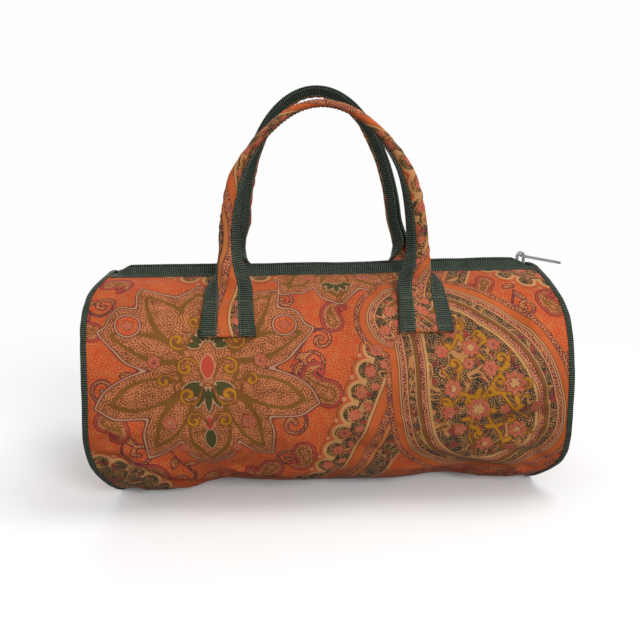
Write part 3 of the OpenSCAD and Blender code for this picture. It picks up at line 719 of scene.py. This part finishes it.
# half of the strap's middle line, from a foot to the top: places, outward ways, shares of fold and turns
def handleHalf(side):
    top, arch = barrelTop + side["rise"], barrelTop + handle["archLift"]
    rows = []
    for t in np.linspace(1, 0, handle["footSteps"] + 1):
        p, out = barrelAt(handle["footTop"] + handle["footLength"] * t, footLift)
        rows.append(((-handle["feetApart"] / 2, -p[0], p[1]), out, 0.0, 0.0))
    a, outA = barrelAt(handle["footTop"], footLift)
    b = np.array([handle["limbOffset"], arch])
    reach = np.linalg.norm(b - a)
    wayA = unit(a - barrelAt(handle["footTop"] + 1, footLift)[0])
    wayB = unit(np.array([handle["archOffset"] - handle["limbOffset"], top - arch]))
    for t in np.linspace(0, 1, handle["limbSteps"] + 1)[1:]:
        p = a * (2 * t ** 3 - 3 * t * t + 1) + reach * wayA * (t ** 3 - 2 * t * t + t) \
            + b * (3 * t * t - 2 * t ** 3) + reach * wayB * (t ** 3 - t * t)
        x = handle["feetApart"] / 2 * (1 - t) + handle["archHalf"] * t
        out = outA * (1 - t) + np.array([0, -1, 0]) * t
        rows.append(((-x, -p[0], p[1]), out, smooth(0.95 * t), side["limbTurn"] * smooth(t)))
    for t in np.linspace(0, 1, handle["archSteps"] + 1)[1:]:
        w = math.radians(90 * t)
        off = handle["limbOffset"] + (handle["archOffset"] - handle["limbOffset"]) * math.sin(w)
        place = (-handle["archHalf"] * math.cos(w), -off, arch + (top - arch) * math.sin(w))
        turn = side["limbTurn"] + (side["topTurn"] - side["limbTurn"]) * smooth(1.1 * t)
        rows.append((place, np.array([0, -1.0, 0]), 0.97 + 0.03 * min(1, 3 * t), turn))
    return (np.array(q) for q in zip(*rows))


# how wide the folded strap is along that half, slimmest at the top
def handleWidth(side, half):
    foot, limb, slim = handle["footSteps"], handle["limbSteps"], side["slim"]
    steps = [0, foot, foot + limb * 0.4, foot + limb * 0.8, half - 40, half - 12, half]
    return np.interp(np.arange(half + 1), steps, [1.0, 0.87, 0.9, 1.0, 0.5 + 0.5 * slim, slim + 0.05, slim])


def handleLine(side):
    place, out, fold, turn = handleHalf(side)
    wide = handleWidth(side, len(fold) - 1)
    place = np.concatenate([place, place[-2::-1] * [-1, 1, 1]])
    out, turn = thereAndBack(out), np.radians(thereAndBack(turn))[:, None]
    way = unit(np.roll(place, -1, 0) - np.roll(place, 1, 0))
    way[0], way[-1] = unit(place[1] - place[0]), unit(place[-1] - place[-2])
    out = unit(out - np.sum(out * way, 1, keepdims=True) * way)
    sideways = np.cross(way, out)
    return dict(place=place, fold=evened(thereAndBack(fold)), wide=evened(thereAndBack(wide)),
                across=sideways * np.cos(turn) + out * np.sin(turn),
                tail=sideways * np.sin(turn) - out * np.cos(turn), run=runOf(place))


# the strap's own section for one share of fold, at lengths from its middle: places, outward ways, ways on
def foldedStrap(fold, lengths):
    step = 0.05
    s = np.arange(0, strapHalf + step, step)
    tip = np.clip((s - nose) / (strapHalf - nose), 0, 1)
    angle = np.radians(fold * (90 * np.minimum(1, s / nose) + leanIn * np.sin(math.pi * tip)))
    p = np.concatenate([[0], np.cumsum(step * np.cos(angle))])[:-1]
    q = np.concatenate([[0], np.cumsum(step * np.sin(angle))])[:-1]
    q -= np.interp(strapHalf, s, q) * (1 - 0.5 * fold)
    a = np.abs(lengths)
    line = np.stack([np.sign(lengths) * np.interp(a, s, p), np.interp(a, s, q)], -1)
    dp = np.interp(a + 0.1, s, p) - np.interp(a - 0.1, s, p)
    dq = np.interp(a + 0.1, s, q) - np.interp(a - 0.1, s, q)
    way = unit(np.stack([dp, dq * np.where(lengths < 0, -1, 1)], -1))
    return line, np.stack([way[:, 1], -way[:, 0]], -1), way


# a slimmer stretch is also a little shallower
def setAcross(line, i, section):
    wide = line["wide"][i]
    deep = handle["leastDeep"] + (1 - handle["leastDeep"]) * wide
    sideways, down = section[:, :1] * wide, section[:, 1:] * deep
    return line["place"][i] + sideways * line["across"][i] + down * line["tail"][i]


# the handles stand a little to the left; each pair is the height at which a move starts, and its run
lean = dict(left=1.6, close=(208, 38), drawIn=(150, 30), over=(165, 88), up=(195, 50), fullAt=216,
            fullReach=22)


def leaned(points, side):
    x, y, z = np.moveaxis(points, -1, 0)
    x = x * (1 - side["close"] * ramp(z, *lean["close"])) * (1 - side["drawIn"] * ramp(z, *lean["drawIn"]))
    x = x * (1 + side["full"] * bump(z - lean["fullAt"], lean["fullReach"]))
    x = x - lean["left"] - side["over"] * ramp(z, *lean["over"])
    return np.stack([x, y, z + side["up"] * ramp(z, *lean["up"])], -1)


# the back handle is the front one's twin, turned about the upright
def onBag(points, side):
    return leaned(points * np.array([-1, -1, 1]) if side["isBack"] else points, side)


# strap cloth: softly gathered between its ribbons
strapCloth = dict(count=45, puff=0.6, puffCell=9, gather=0.42, gatherWave=1.25, gatherCell=16, patchCell=14,
                  edgeFrom=3, edgeFade=4, wander=10, wanderWave=19)


def strapGathers(run, lengths, seed):
    swerve = 0.5 * lengths + 5 * cloudy(run, lengths, strapCloth["gatherCell"], seed + 2)
    patch = smooth(0.5 + 1.2 * cloudy(run, lengths * 1.5, strapCloth["patchCell"], seed + 4))
    return strapCloth["puff"] * cloudy(run, lengths, strapCloth["puffCell"], seed) \
        + strapCloth["gather"] * np.sin(run / strapCloth["gatherWave"] + swerve) * patch


# the straps carry the same print, in a stretch that wanders across the diagonal band, each the other way
def strapOnCloth(run, across, side):
    low, way, aside = bandFrame()
    wander = side["printShift"] + side["printSkew"] * run
    wander = wander + strapCloth["wander"] * np.sin(run / strapCloth["wanderWave"] + 1)
    place = low + (run + side["printStart"])[..., None] * way + (across + wander)[..., None] * aside
    return place[..., 0], place[..., 1]


def makeStrap(name, line, side, node):
    lengths = np.linspace(-strapHalf, strapHalf, strapCloth["count"])
    inside = smooth((plainHalf + strapCloth["edgeFrom"] - np.abs(lengths)) / strapCloth["edgeFade"])
    count, around = len(line["run"]), 2 * len(lengths)
    points = []
    for i, fold in enumerate(line["fold"]):
        flat, away, _ = foldedStrap(fold, lengths)
        soft = fold * strapGathers(line["run"][i], lengths, 101 + side["isBack"]) * inside
        outer = flat + away * (bag["cloth"] / 2 + soft)[:, None]
        inner = flat - away * bag["cloth"] / 2
        points.append(setAcross(line, i, np.concatenate([outer, inner[::-1]])))
    faces = gridFaces(count, around, closeCols=True)
    last = (count - 1) * around
    caps = [[j, j + 1, around - 2 - j, around - 1 - j] for j in range(len(lengths) - 1)]
    faces += [cap[::-1] for cap in caps]
    faces += [[last + k for k in cap] for cap in caps]
    piece = makePiece(name, [node], onBag(np.array(points), side), faces)
    layPrint(piece, *strapOnCloth(line["run"][:, None], np.concatenate([lengths, lengths[::-1]]), side))
    return piece


# edge ribbons: folded over each long edge of the strap, pressed down where they end on it
edgeRibbon = dict(count=14, overlap=0.2, press=0.55, pressTo=1.0, turn=72, turnCount=7, turnFlat=0.75,
                  tuckFrom=0.5, tuckTo=4.4, tuckCount=6)


def makeEdgeRibbon(name, line, side, inside, node):
    first = plainHalf - edgeRibbon["overlap"]
    lengths = np.linspace(first, strapHalf, edgeRibbon["count"])
    tuck = strapHalf - np.linspace(edgeRibbon["tuckFrom"], edgeRibbon["tuckTo"], edgeRibbon["tuckCount"])
    press = np.interp(lengths, [first, plainHalf + edgeRibbon["pressTo"]], [edgeRibbon["press"], 1])[:, None]
    angles = np.radians(edgeRibbon["turn"] * np.linspace(1, -1, edgeRibbon["turnCount"]))[:, None]
    rings = []
    for fold in line["fold"]:
        flat, away, way = foldedStrap(fold, lengths)
        under, underAway, _ = foldedStrap(fold, tuck)
        over = away[-1] * np.sin(angles) + way[-1] * np.cos(angles) * edgeRibbon["turnFlat"]
        rings.append(np.concatenate([flat + away * ribbonLift * press, flat[-1] + ribbonLift * over,
                                     under - underAway * ribbonLift]))
    hand = [1 if inside else -1, 1]
    points = onBag(np.array([setAcross(line, i, ring * hand) for i, ring in enumerate(rings)]), side)
    return makeBand(name, "ribbon", node, points, line["run"][:, None], runOf(rings[0]), not inside,
                    points.shape[:2])


handles = [(word, side, handleLine(side)) for word, side in (("front", frontHandle), ("back", backHandle))]
straps = [makeStrap(word + "HandleStrap", line, side, word + "_handle_strap")
          for word, side, line in handles]
edges = [[makeEdgeRibbon(word + "HandleOuterRibbon", line, side, False, word + "_handle_outer_ribbon"),
          makeEdgeRibbon(word + "HandleInnerRibbon", line, side, True, word + "_handle_inner_ribbon")]
         for word, side, line in handles]
print("handles", [round(float(line["run"][-1])) for _, _, line in handles])

# stitches: short raised threads along the feet and the ribbon edges
stitch = dict(pitch=2.5, length=1.9, rad=0.19, taper=(0.45, 0.95, 1, 1, 0.95, 0.45), sides=6, start=0.6,
              rise=0.22, sunk=0.14, fromEdge=0.9, footInset=0.6, footCount=40)


# one thread: rings of points along a line of places and outward ways
def threadRings(middle, out):
    t = np.linspace(0, 1, len(stitch["taper"]))
    a = np.linspace(0, 2 * math.pi, stitch["sides"], endpoint=False)[:, None]
    rise = np.sin(math.pi * t) ** 0.6 * stitch["rise"] - stitch["sunk"]
    rad = stitch["rad"] * np.array(stitch["taper"])[:, None, None]
    wide = np.cross(unit(np.gradient(middle, axis=0)), out)
    middle = middle + out * rise[:, None]
    return middle[:, None] + rad * (wide[:, None] * np.cos(a) + out[:, None] * np.sin(a))


def makeStitches(name, rows):
    along, sides = len(stitch["taper"]), stitch["sides"]
    points, faces = [], []
    for places, outs in rows:
        run = runOf(places)
        for s in np.arange(stitch["start"], run[-1] - stitch["length"], stitch["pitch"]):
            at = s + np.linspace(0, 1, along) * stitch["length"]
            middle = np.stack([np.interp(at, run, places[:, k]) for k in range(3)], -1)
            out = unit(np.stack([np.interp(at, run, outs[:, k]) for k in range(3)], -1))
            start = len(points) * along * sides
            end = start + (along - 1) * sides
            points.append(threadRings(middle, out))
            faces += gridFaces(along, sides, closeCols=True, start=start)
            faces += [list(range(start, start + sides))[::-1], list(range(end, end + sides))]
    return makePiece(name, [], np.array(points), faces)


# places over the strap at one step of its line, once for each lift
def overStrap(line, i, lengths, *lifts):
    flat, away, _ = foldedStrap(line["fold"][i], lengths)
    return [setAcross(line, i, flat + away * lift) for lift in lifts]


def handleStitchRows(line, side):
    count, foot = len(line["run"]), handle["footSteps"]
    rows = []
    for length in (-plainHalf - stitch["fromEdge"], plainHalf + stitch["fromEdge"]):
        lifts = ribbonLift * 0.98, ribbonLift + 1
        places = np.array([overStrap(line, i, np.array([length]), *lifts) for i in range(count)])
        rows.append((places[:, 0, 0], places[:, 1, 0]))
    # rows across each foot: near its lower edge, and at its top
    lengths = (strapHalf - stitch["footInset"]) * np.linspace(-1, 1, stitch["footCount"])
    lift = np.where(np.abs(lengths) > plainHalf, ribbonLift, bag["cloth"] / 2)[:, None]
    for i in (2, foot - 1, count - 3, count - foot):
        rows.append(overStrap(line, i, lengths, lift, lift + 1))
    return [(onBag(low, side), onBag(high, side) - onBag(low, side)) for low, high in rows]


threads = [makeStitches(word + "HandleStitches", handleStitchRows(line, side))
           for word, side, line in handles]
print("stitches", len(threads[0].data.polygons))


# shaders: small helpers first; values that go into a node are sockets or constants
def isSocket(value):
    return isinstance(value, bpy.types.NodeSocket)


def feed(node, values):
    for name, value in values.items():
        if isSocket(value):
            node.id_data.links.new(value, node.inputs[name])
        else:
            node.inputs[name].default_value = value


def addNode(tree, kind, values, **settings):
    node = tree.nodes.new(kind)
    for name, setting in settings.items():
        setattr(node, name, setting)
    feed(node, values)
    return node


def calc(operation, a, b=0.0, c=0.0):
    return addNode(a.id_data, "ShaderNodeMath", {0: a, 1: b, 2: c}, operation=operation).outputs[0]


# 1 where value is under edge, with a soft step
def under(value, edge, soft=0.18):
    step = {"Value": value, "From Min": edge + soft, "From Max": edge - soft}
    return addNode(value.id_data, "ShaderNodeMapRange", step).outputs["Result"]


def between(value, low, high, soft=0.12):
    return calc("SUBTRACT", under(value, high, soft), under(value, low, soft))


def mixed(share, a, b):
    a, b = (one if isSocket(one) else (*one, 1) for one in (a, b))
    return addNode(share.id_data, "ShaderNodeMix", {0: share, 6: a, 7: b}, data_type="RGBA").outputs[2]


def noiseOn(place, scale, detail=0.0, twist=0.0, dimensions="2D"):
    values = {"Vector": place, "Scale": scale, "Detail": detail, "Distortion": twist}
    return addNode(place.id_data, "ShaderNodeTexNoise", values, noise_dimensions=dimensions).outputs["Fac"]


def raised(height, strength, distance):
    values = {"Height": height, "Strength": strength, "Distance": distance * mm}
    return addNode(height.id_data, "ShaderNodeBump", values).outputs["Normal"]


def pointValue(tree, name, output="Fac"):
    return addNode(tree, "ShaderNodeAttribute", {}, attribute_name=name).outputs[output]


def startMaterial(name):
    mat = bpy.data.materials.new(name)
    mat.use_nodes = True
    return mat, mat.node_tree, mat.node_tree.nodes["Principled BSDF"]


def coverWith(mat, pieces):
    for piece in pieces:
        piece.data.materials.append(mat)


# printed cloth: its inks, then what is printed from the ground up
ink = dict(ground=(0.43, 0.055, 0.017), fleck=(0.40, 0.127, 0.036), salmon=(0.45, 0.15, 0.058),
           brown=(0.165, 0.052, 0.017), olive=(0.165, 0.068, 0.013), pale=(0.40, 0.20, 0.105),
           mauve=(0.11, 0.028, 0.027), mustard=(0.37, 0.155, 0.010), leafGreen=(0.055, 0.050, 0.015),
           rose=(0.38, 0.050, 0.028), cream=(0.44, 0.215, 0.078), tan=(0.37, 0.165, 0.056),
           dark=(0.026, 0.025, 0.016), plain=(0.43, 0.072, 0.018))
inMedallion = ("medallion", 0.0)
inBoteh = ("boteh", -15.8)
# a field, what it stays within, and each paint with the edge it goes out to, in millimetres
underBands = (
    ("stem", None, ((0.7, "mauve"), (0.0, "filling"))),
    ("small", None, ((1.1, "mauve"), (0.4, "rose"), (-0.6, "mauve"), (-1.1, "filling"), (-3.4, "olive"),
                     (-4.4, "filling"))),
    ("medallion", None, ((1.1, "mauve"), (0.4, "pale"), (-0.5, "mauve"), (-1.0, "filling"), (-5.4, "olive"),
                         (-7.7, "filling"))),
    ("volute", inMedallion, ((1.2, "mauve"), (0.6, "pale"), (-0.2, "mauve"), (-0.8, "ground"))),
    ("fan", inMedallion, ((1.3, "brown"), (0.8, "pale"), (0.1, "leafGreen"))),
    ("jewel", inMedallion, ((0.7, "pale"), (0.0, "rose"))),
    ("scroll", inMedallion, ((0.8, "brown"), (0.15, "mustard"))),
    ("scallop", None, ((0.9, "brown"), (0.1, "plain"), (-0.9, "rose"), (-1.4, "cream"),
                       (-3.4, "darkField"))),
    ("eyelet", None, ((2.0, "rose"), (1.4, "cream"), (0.7, "brown"))))
# straight bands beside the diagonal scallops: from, to and paint
straightBands = ((-2.5, 3.2, "plain"), (-3.1, -2.5, "brown"), (3.2, 3.8, "brown"), (-7.6, -3.1, "chain"),
                 (-8.3, -7.6, "brown"), (-10.8, -8.3, "fleck"), (-11.5, -10.8, "mauve"),
                 (-24.0, -11.5, "darkField"), (-25.4, -24.0, "cream"))
overBands = (
    ("boteh", None, ((9.6, "brown"), (9.0, "chain"), (6.4, "brown"), (5.8, "plain"), (2.0, "brown"),
                     (1.4, "cream"), (0.6, "mauve"), (0.0, "pale"), (-0.6, "chain"), (-3.2, "cream"),
                     (-3.9, "mauve"), (-4.5, "darkField"), (-8.4, "pale"), (-9.0, "olive"), (-11.2, "mauve"),
                     (-11.8, "chain"), (-14.4, "pale"), (-15.0, "brown"), (-15.6, "cream"),
                     (-17.2, "darkField"))),
    ("spray", inBoteh, ((0.75, "brown"), (0.22, "mustard"))),
    ("flower", None, ((0.5, "brown"), (0.0, "petal"), (-2.6, "mauve"), (-3.1, "cream"))))
# worm-like marks: spacing in millimetres and share of the cloth
marks = dict(worm=(1.8, 0.46), fine=(1.65, 0.5), stipple=(1.4, 0.56), soft=0.05, uneven=0.36,
             unevenScale=0.21)
dyed = dict(wash=0.45, washScale=0.035, thread=0.34, threadScale=3.1, tone=0.62, twill=0.6, twillScale=0.62,
            twillTwist=0.4, relief=0.25, deep=0.12, rough=0.66, roughSpread=0.2)


def worms(place, spacing, share):
    values = {"Vector": place, "Scale": 0.5 / spacing, "Frequency": 2.0, "Anisotropy": 0.0}
    line = addNode(place.id_data, "ShaderNodeTexGabor", values).outputs["Value"]
    patchy = noiseOn(place, marks["unevenScale"], 2.0)
    patchy = calc("MULTIPLY_ADD", patchy, marks["uneven"], -marks["uneven"] / 2)
    return under(calc("ADD", line, patchy), share, marks["soft"])


# the inks, and the paints that are two inks worked into each other
def makePaints(place):
    worm, fine, stipple = (worms(place, *marks[name]) for name in ("worm", "fine", "stipple"))
    # dark fields carry rose patches and wandering pale lines
    darkField = mixed(stipple, ink["tan"], ink["dark"])
    patch = under(noiseOn(place, 0.15, 1.0), 0.345, 0.01)
    darkField = mixed(patch, darkField, mixed(stipple, ink["rose"], ink["mauve"]))
    wander = noiseOn(place, 0.062, 1.0, 0.8)
    for reach, name in ((0.024, "brown"), (0.016, "tan")):
        darkField = mixed(between(wander, 0.5 - reach, 0.5 + reach, 0.003), darkField, ink[name])
    return {**ink, "darkField": darkField, "ground": mixed(worm, ink["ground"], ink["fleck"]),
            "filling": mixed(fine, ink["salmon"], ink["brown"]),
            "chain": mixed(fine, ink["salmon"], ink["mauve"]),
            "plain": mixed(calc("MULTIPLY", stipple, 0.4), ink["plain"], ink["fleck"]),
            "petal": mixed(calc("MULTIPLY", stipple, 0.45), ink["rose"], ink["pale"])}


def paintOver(colour, paints, layers):
    tree = colour.id_data
    for name, within, steps in layers:
        value = pointValue(tree, name)
        inside = within and under(pointValue(tree, within[0]), within[1])
        for edge, paint in steps:
            share = calc("MULTIPLY", under(value, edge), inside) if within else under(value, edge)
            colour = mixed(share, colour, paints[paint])
    return colour


def makePrintedCloth():
    mat, tree, shader = startMaterial("printedCloth")
    place = pointValue(tree, "flat", "Vector")
    paints = makePaints(place)
    colour = paintOver(paints["ground"], paints, underBands)
    diagonal = pointValue(tree, "diagonal")
    for low, high, paint in straightBands:
        colour = mixed(between(diagonal, low, high), colour, paints[paint])
    colour = paintOver(colour, paints, overBands)
    # uneven dye and thread
    wash, thread = noiseOn(place, dyed["washScale"], 3.0), noiseOn(place, dyed["threadScale"], 2.0)
    tone = calc("ADD", calc("MULTIPLY", wash, dyed["wash"]), calc("MULTIPLY", thread, dyed["thread"]))
    values = {"Color": colour, "Value": calc("ADD", tone, dyed["tone"])}
    shade = addNode(tree, "ShaderNodeHueSaturation", values)
    # twill lines and slubs
    values = {"Vector": place, "Scale": dyed["twillScale"], "Distortion": dyed["twillTwist"]}
    twill = addNode(tree, "ShaderNodeTexWave", values, bands_direction="DIAGONAL").outputs["Fac"]
    weave = calc("ADD", calc("MULTIPLY", twill, dyed["twill"]), thread)
    feed(shader, {"Base Color": shade.outputs["Color"],
                  "Normal": raised(weave, dyed["relief"], dyed["deep"]),
                  "Roughness": calc("MULTIPLY_ADD", thread, dyed["roughSpread"], dyed["rough"]),
                  "Sheen Weight": 0.03, "Sheen Roughness": 0.4, "Specular IOR Level": 0.12})
    return mat


coverWith(makePrintedCloth(), [bodyPiece, leftEnd, rightEnd, *straps])
print("printed cloth")

# ribbed ribbon and the zip tapes' finer weave, each over its own dark green; deep is a darker colour painted
# into the rib valleys as shade, and the crest colour is a lighter one painted on the rib tops as highlight
ribbed = dict(pitch=1.35, deep=(0.002, 0.004, 0.003), paintedLitCrest=(0.125, 0.165, 0.112), relief=0.8)
woven = dict(pitch=0.7, deep=(0.012, 0.018, 0.014), paintedLitCrest=(0.05, 0.065, 0.05), relief=0.4)


def makeRibbon(name, look):
    mat, tree, shader = startMaterial(name)
    place = pointValue(tree, "flat", "Vector")
    along = addNode(tree, "ShaderNodeSeparateXYZ", {0: place}).outputs[0]
    along = calc("ADD", along, calc("MULTIPLY", noiseOn(place, 0.25), 0.5))
    wave = calc("SINE", calc("MULTIPLY", along, 2 * math.pi / look["pitch"]))
    rib = calc("MULTIPLY_ADD", wave, 0.5, 0.5)
    # painted highlight: light broken threads glinting on the crests, with the valleys between painted dark
    # as shade
    thread = noiseOn(place, 1.5, 2.0)
    # patches where the painted crest highlight is weaker or stronger
    glintPatches = calc("MULTIPLY_ADD", noiseOn(place, 0.12, 3.0), 0.8, 0.5)
    paintedCrestLight = calc("MULTIPLY", calc("POWER", rib, 2.2), calc("MULTIPLY_ADD", thread, 1.3, 0.05))
    weave = calc("ADD", rib, calc("MULTIPLY", thread, 0.3))
    feed(shader, {"Base Color": mixed(calc("MULTIPLY", paintedCrestLight, glintPatches), look["deep"], look["paintedLitCrest"]),
                  "Roughness": calc("MULTIPLY_ADD", thread, 0.25, 0.55),
                  "Normal": raised(weave, look["relief"], 0.35),
                  "Sheen Weight": 0.02, "Specular IOR Level": 0.12})
    return mat


ribbons = [leftBinding, rightBinding, frontLip, backLip, *edges[0], *edges[1]]
coverWith(makeRibbon("ribbedRibbon", ribbed), ribbons)
coverWith(makeRibbon("zipTapeWeave", woven), [frontTape, backTape])

# nylon coil, sewing thread and worn metal share one recipe of noise on the object's own place
nylon = dict(low=(0.02, 0.028, 0.022), high=(0.05, 0.06, 0.048), scale=900, rough=(0.3, 0.5), metal=0.0,
             relief=0.05)
sewing = dict(low=(0.05, 0.06, 0.04), high=(0.14, 0.155, 0.105), scale=1600, rough=(0.6, 0.8), metal=0.0,
              relief=0.05)
nickel = dict(low=(0.10, 0.102, 0.105), high=(0.26, 0.26, 0.255), scale=260, rough=(0.3, 0.5), metal=1.0,
              relief=0.04)


def makePlainFinish(name, look):
    mat, tree, shader = startMaterial(name)
    spot = addNode(tree, "ShaderNodeTexCoord", {}).outputs["Object"]
    grain = noiseOn(spot, look["scale"], 4.0, dimensions="3D")
    fine = noiseOn(spot, look["scale"] * 6, 2.0, dimensions="3D")
    least, most = look["rough"]
    feed(shader, {"Base Color": mixed(grain, look["low"], look["high"]), "Metallic": look["metal"],
                  "Roughness": calc("MULTIPLY_ADD", fine, most - least, least),
                  "Normal": raised(fine, 0.3, look["relief"])})
    return mat


coverWith(makePlainFinish("zipCoilNylon", nylon), teeth)
coverWith(makePlainFinish("sewingThread", sewing), threads)
metalParts = [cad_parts[name] for name in ("zip_slider", "zip_pull")]
for part in metalParts:
    part.data.materials.clear()
    soften = part.modifiers.new("soften", "BEVEL")
    soften.width, soften.segments, soften.angle_limit = 0.25 * mm, 3, math.radians(40)
coverWith(makePlainFinish("wornNickel", nickel), metalParts)
print("finishes on")

# stage: pale floor, white surroundings, soft light from above and in front
stageLook = dict(floor=0.9, grain=0.01, lift=0.075, bounce=0.24, world=0.5, white=(0.985, 0.985, 0.985, 1),
                 fadeFrom=0.34, fadeTo=0.75)
# each lamp's place, aim, size and power
lamps = dict(keyLamp=((0.45, -0.2, 1.1), (0, 0, 0.08), 0.7, 4.6),
             rearLamp=((-0.3, 1.3, 0.6), (0, 0, 0.08), 0.9, 5.0),
             sideLamp=((-1.35, -0.25, 0.55), (0, 0, 0.08), 0.9, 3.5),
             fillLamp=((0.5, -1.3, 0.68), (0, 0, 0.07), 0.5, 12.6))


# 1 for rays that show the stage, 0 for those that only carry its light
def showing(tree):
    rays = addNode(tree, "ShaderNodeLightPath", {}).outputs
    mirror = calc("MAXIMUM", rays["Is Glossy Ray"], rays["Is Transmission Ray"])
    return calc("MAXIMUM", rays["Is Camera Ray"], mirror)


# matte floor with a little glow, fading to white with distance
def makeFloorFinish():
    mat, tree, shader = startMaterial("paleFloor")
    tree.nodes.remove(shader)
    seen = showing(tree)
    place = addNode(tree, "ShaderNodeNewGeometry", {}).outputs["Position"]
    pale, dim = stageLook["floor"], stageLook["bounce"]
    grain = noiseOn(place, 3.0, 2.0, dimensions="3D")
    tone = mixed(grain, [pale] * 3, [pale + stageLook["grain"]] * 3)
    matte = addNode(tree, "ShaderNodeBsdfDiffuse", {"Color": mixed(seen, [dim] * 3, tone)})
    little = addNode(tree, "ShaderNodeEmission", {"Strength": calc("MULTIPLY", seen, stageLook["lift"])})
    lifted = addNode(tree, "ShaderNodeAddShader", {0: matte.outputs[0], 1: little.outputs[0]})
    white = addNode(tree, "ShaderNodeEmission", {"Color": stageLook["white"]})
    far = addNode(tree, "ShaderNodeVectorMath", {0: place}, operation="LENGTH").outputs["Value"]
    values = {"Value": far, "From Min": stageLook["fadeFrom"], "From Max": stageLook["fadeTo"]}
    fade = addNode(tree, "ShaderNodeMapRange", values, interpolation_type="SMOOTHSTEP").outputs["Result"]
    values = {0: calc("MULTIPLY", fade, seen), 1: lifted.outputs[0], 2: white.outputs[0]}
    both = addNode(tree, "ShaderNodeMixShader", values)
    feed(tree.nodes["Material Output"], {"Surface": both.outputs[0]})
    return mat


def makeFloor():
    mesh = bpy.data.meshes.new("floor")
    mesh.from_pydata([(-6, -4, 0), (6, -4, 0), (6, 9, 0), (-6, 9, 0)], [], [(0, 1, 2, 3)])
    mesh.materials.append(makeFloorFinish())
    floor = bpy.data.objects.new("floor", mesh)
    bpy.context.collection.objects.link(floor)


def makeWorld():
    world = bpy.data.worlds.new("paleRoom")
    bpy.context.scene.world = world
    world.use_nodes = True
    level = stageLook["world"]
    strength = calc("MULTIPLY_ADD", showing(world.node_tree), 1 - level, level)
    feed(world.node_tree.nodes["Background"], {"Color": stageLook["white"], "Strength": strength})


def addLamp(name, place, aim, size, power):
    lamp = bpy.data.lights.new(name, "AREA")
    lamp.shape, lamp.size, lamp.energy = "DISK", size, power
    obj = bpy.data.objects.new(name, lamp)
    bpy.context.collection.objects.link(obj)
    obj.location = place
    obj.rotation_euler = (Vector(aim) - Vector(place)).to_track_quat("-Z", "Y").to_euler()


makeFloor()
makeWorld()
for name, one in lamps.items():
    addLamp(name, *one)
print("stage set")

# camera: aimed at the barrel's middle, a little above it and to its left
view = dict(distance=0.546, rise=16.0, swing=3.0, roll=-0.7, lens=43.4, shiftX=-0.0086, shiftY=0.0844)


def makeCamera():
    data = bpy.data.cameras.new("camera")
    data.lens, data.sensor_width, data.sensor_fit = view["lens"], 36.0, "HORIZONTAL"
    data.shift_x, data.shift_y = view["shiftX"], view["shiftY"]
    camera = bpy.data.objects.new("camera", data)
    bpy.context.collection.objects.link(camera)
    aim = Vector((0, 0, middleZ * mm))
    rise, swing = math.radians(view["rise"]), math.radians(view["swing"])
    way = Vector((-math.sin(swing) * math.cos(rise), -math.cos(swing) * math.cos(rise), math.sin(rise)))
    camera.location = aim + view["distance"] * way
    look = (aim - camera.location).to_track_quat("-Z", "Y").to_matrix()
    camera.rotation_euler = (look @ Matrix.Rotation(math.radians(view["roll"]), 3, "Z")).to_euler()
    bpy.context.scene.camera = camera


makeCamera()
bpy.context.scene.view_settings.view_transform = "Standard"
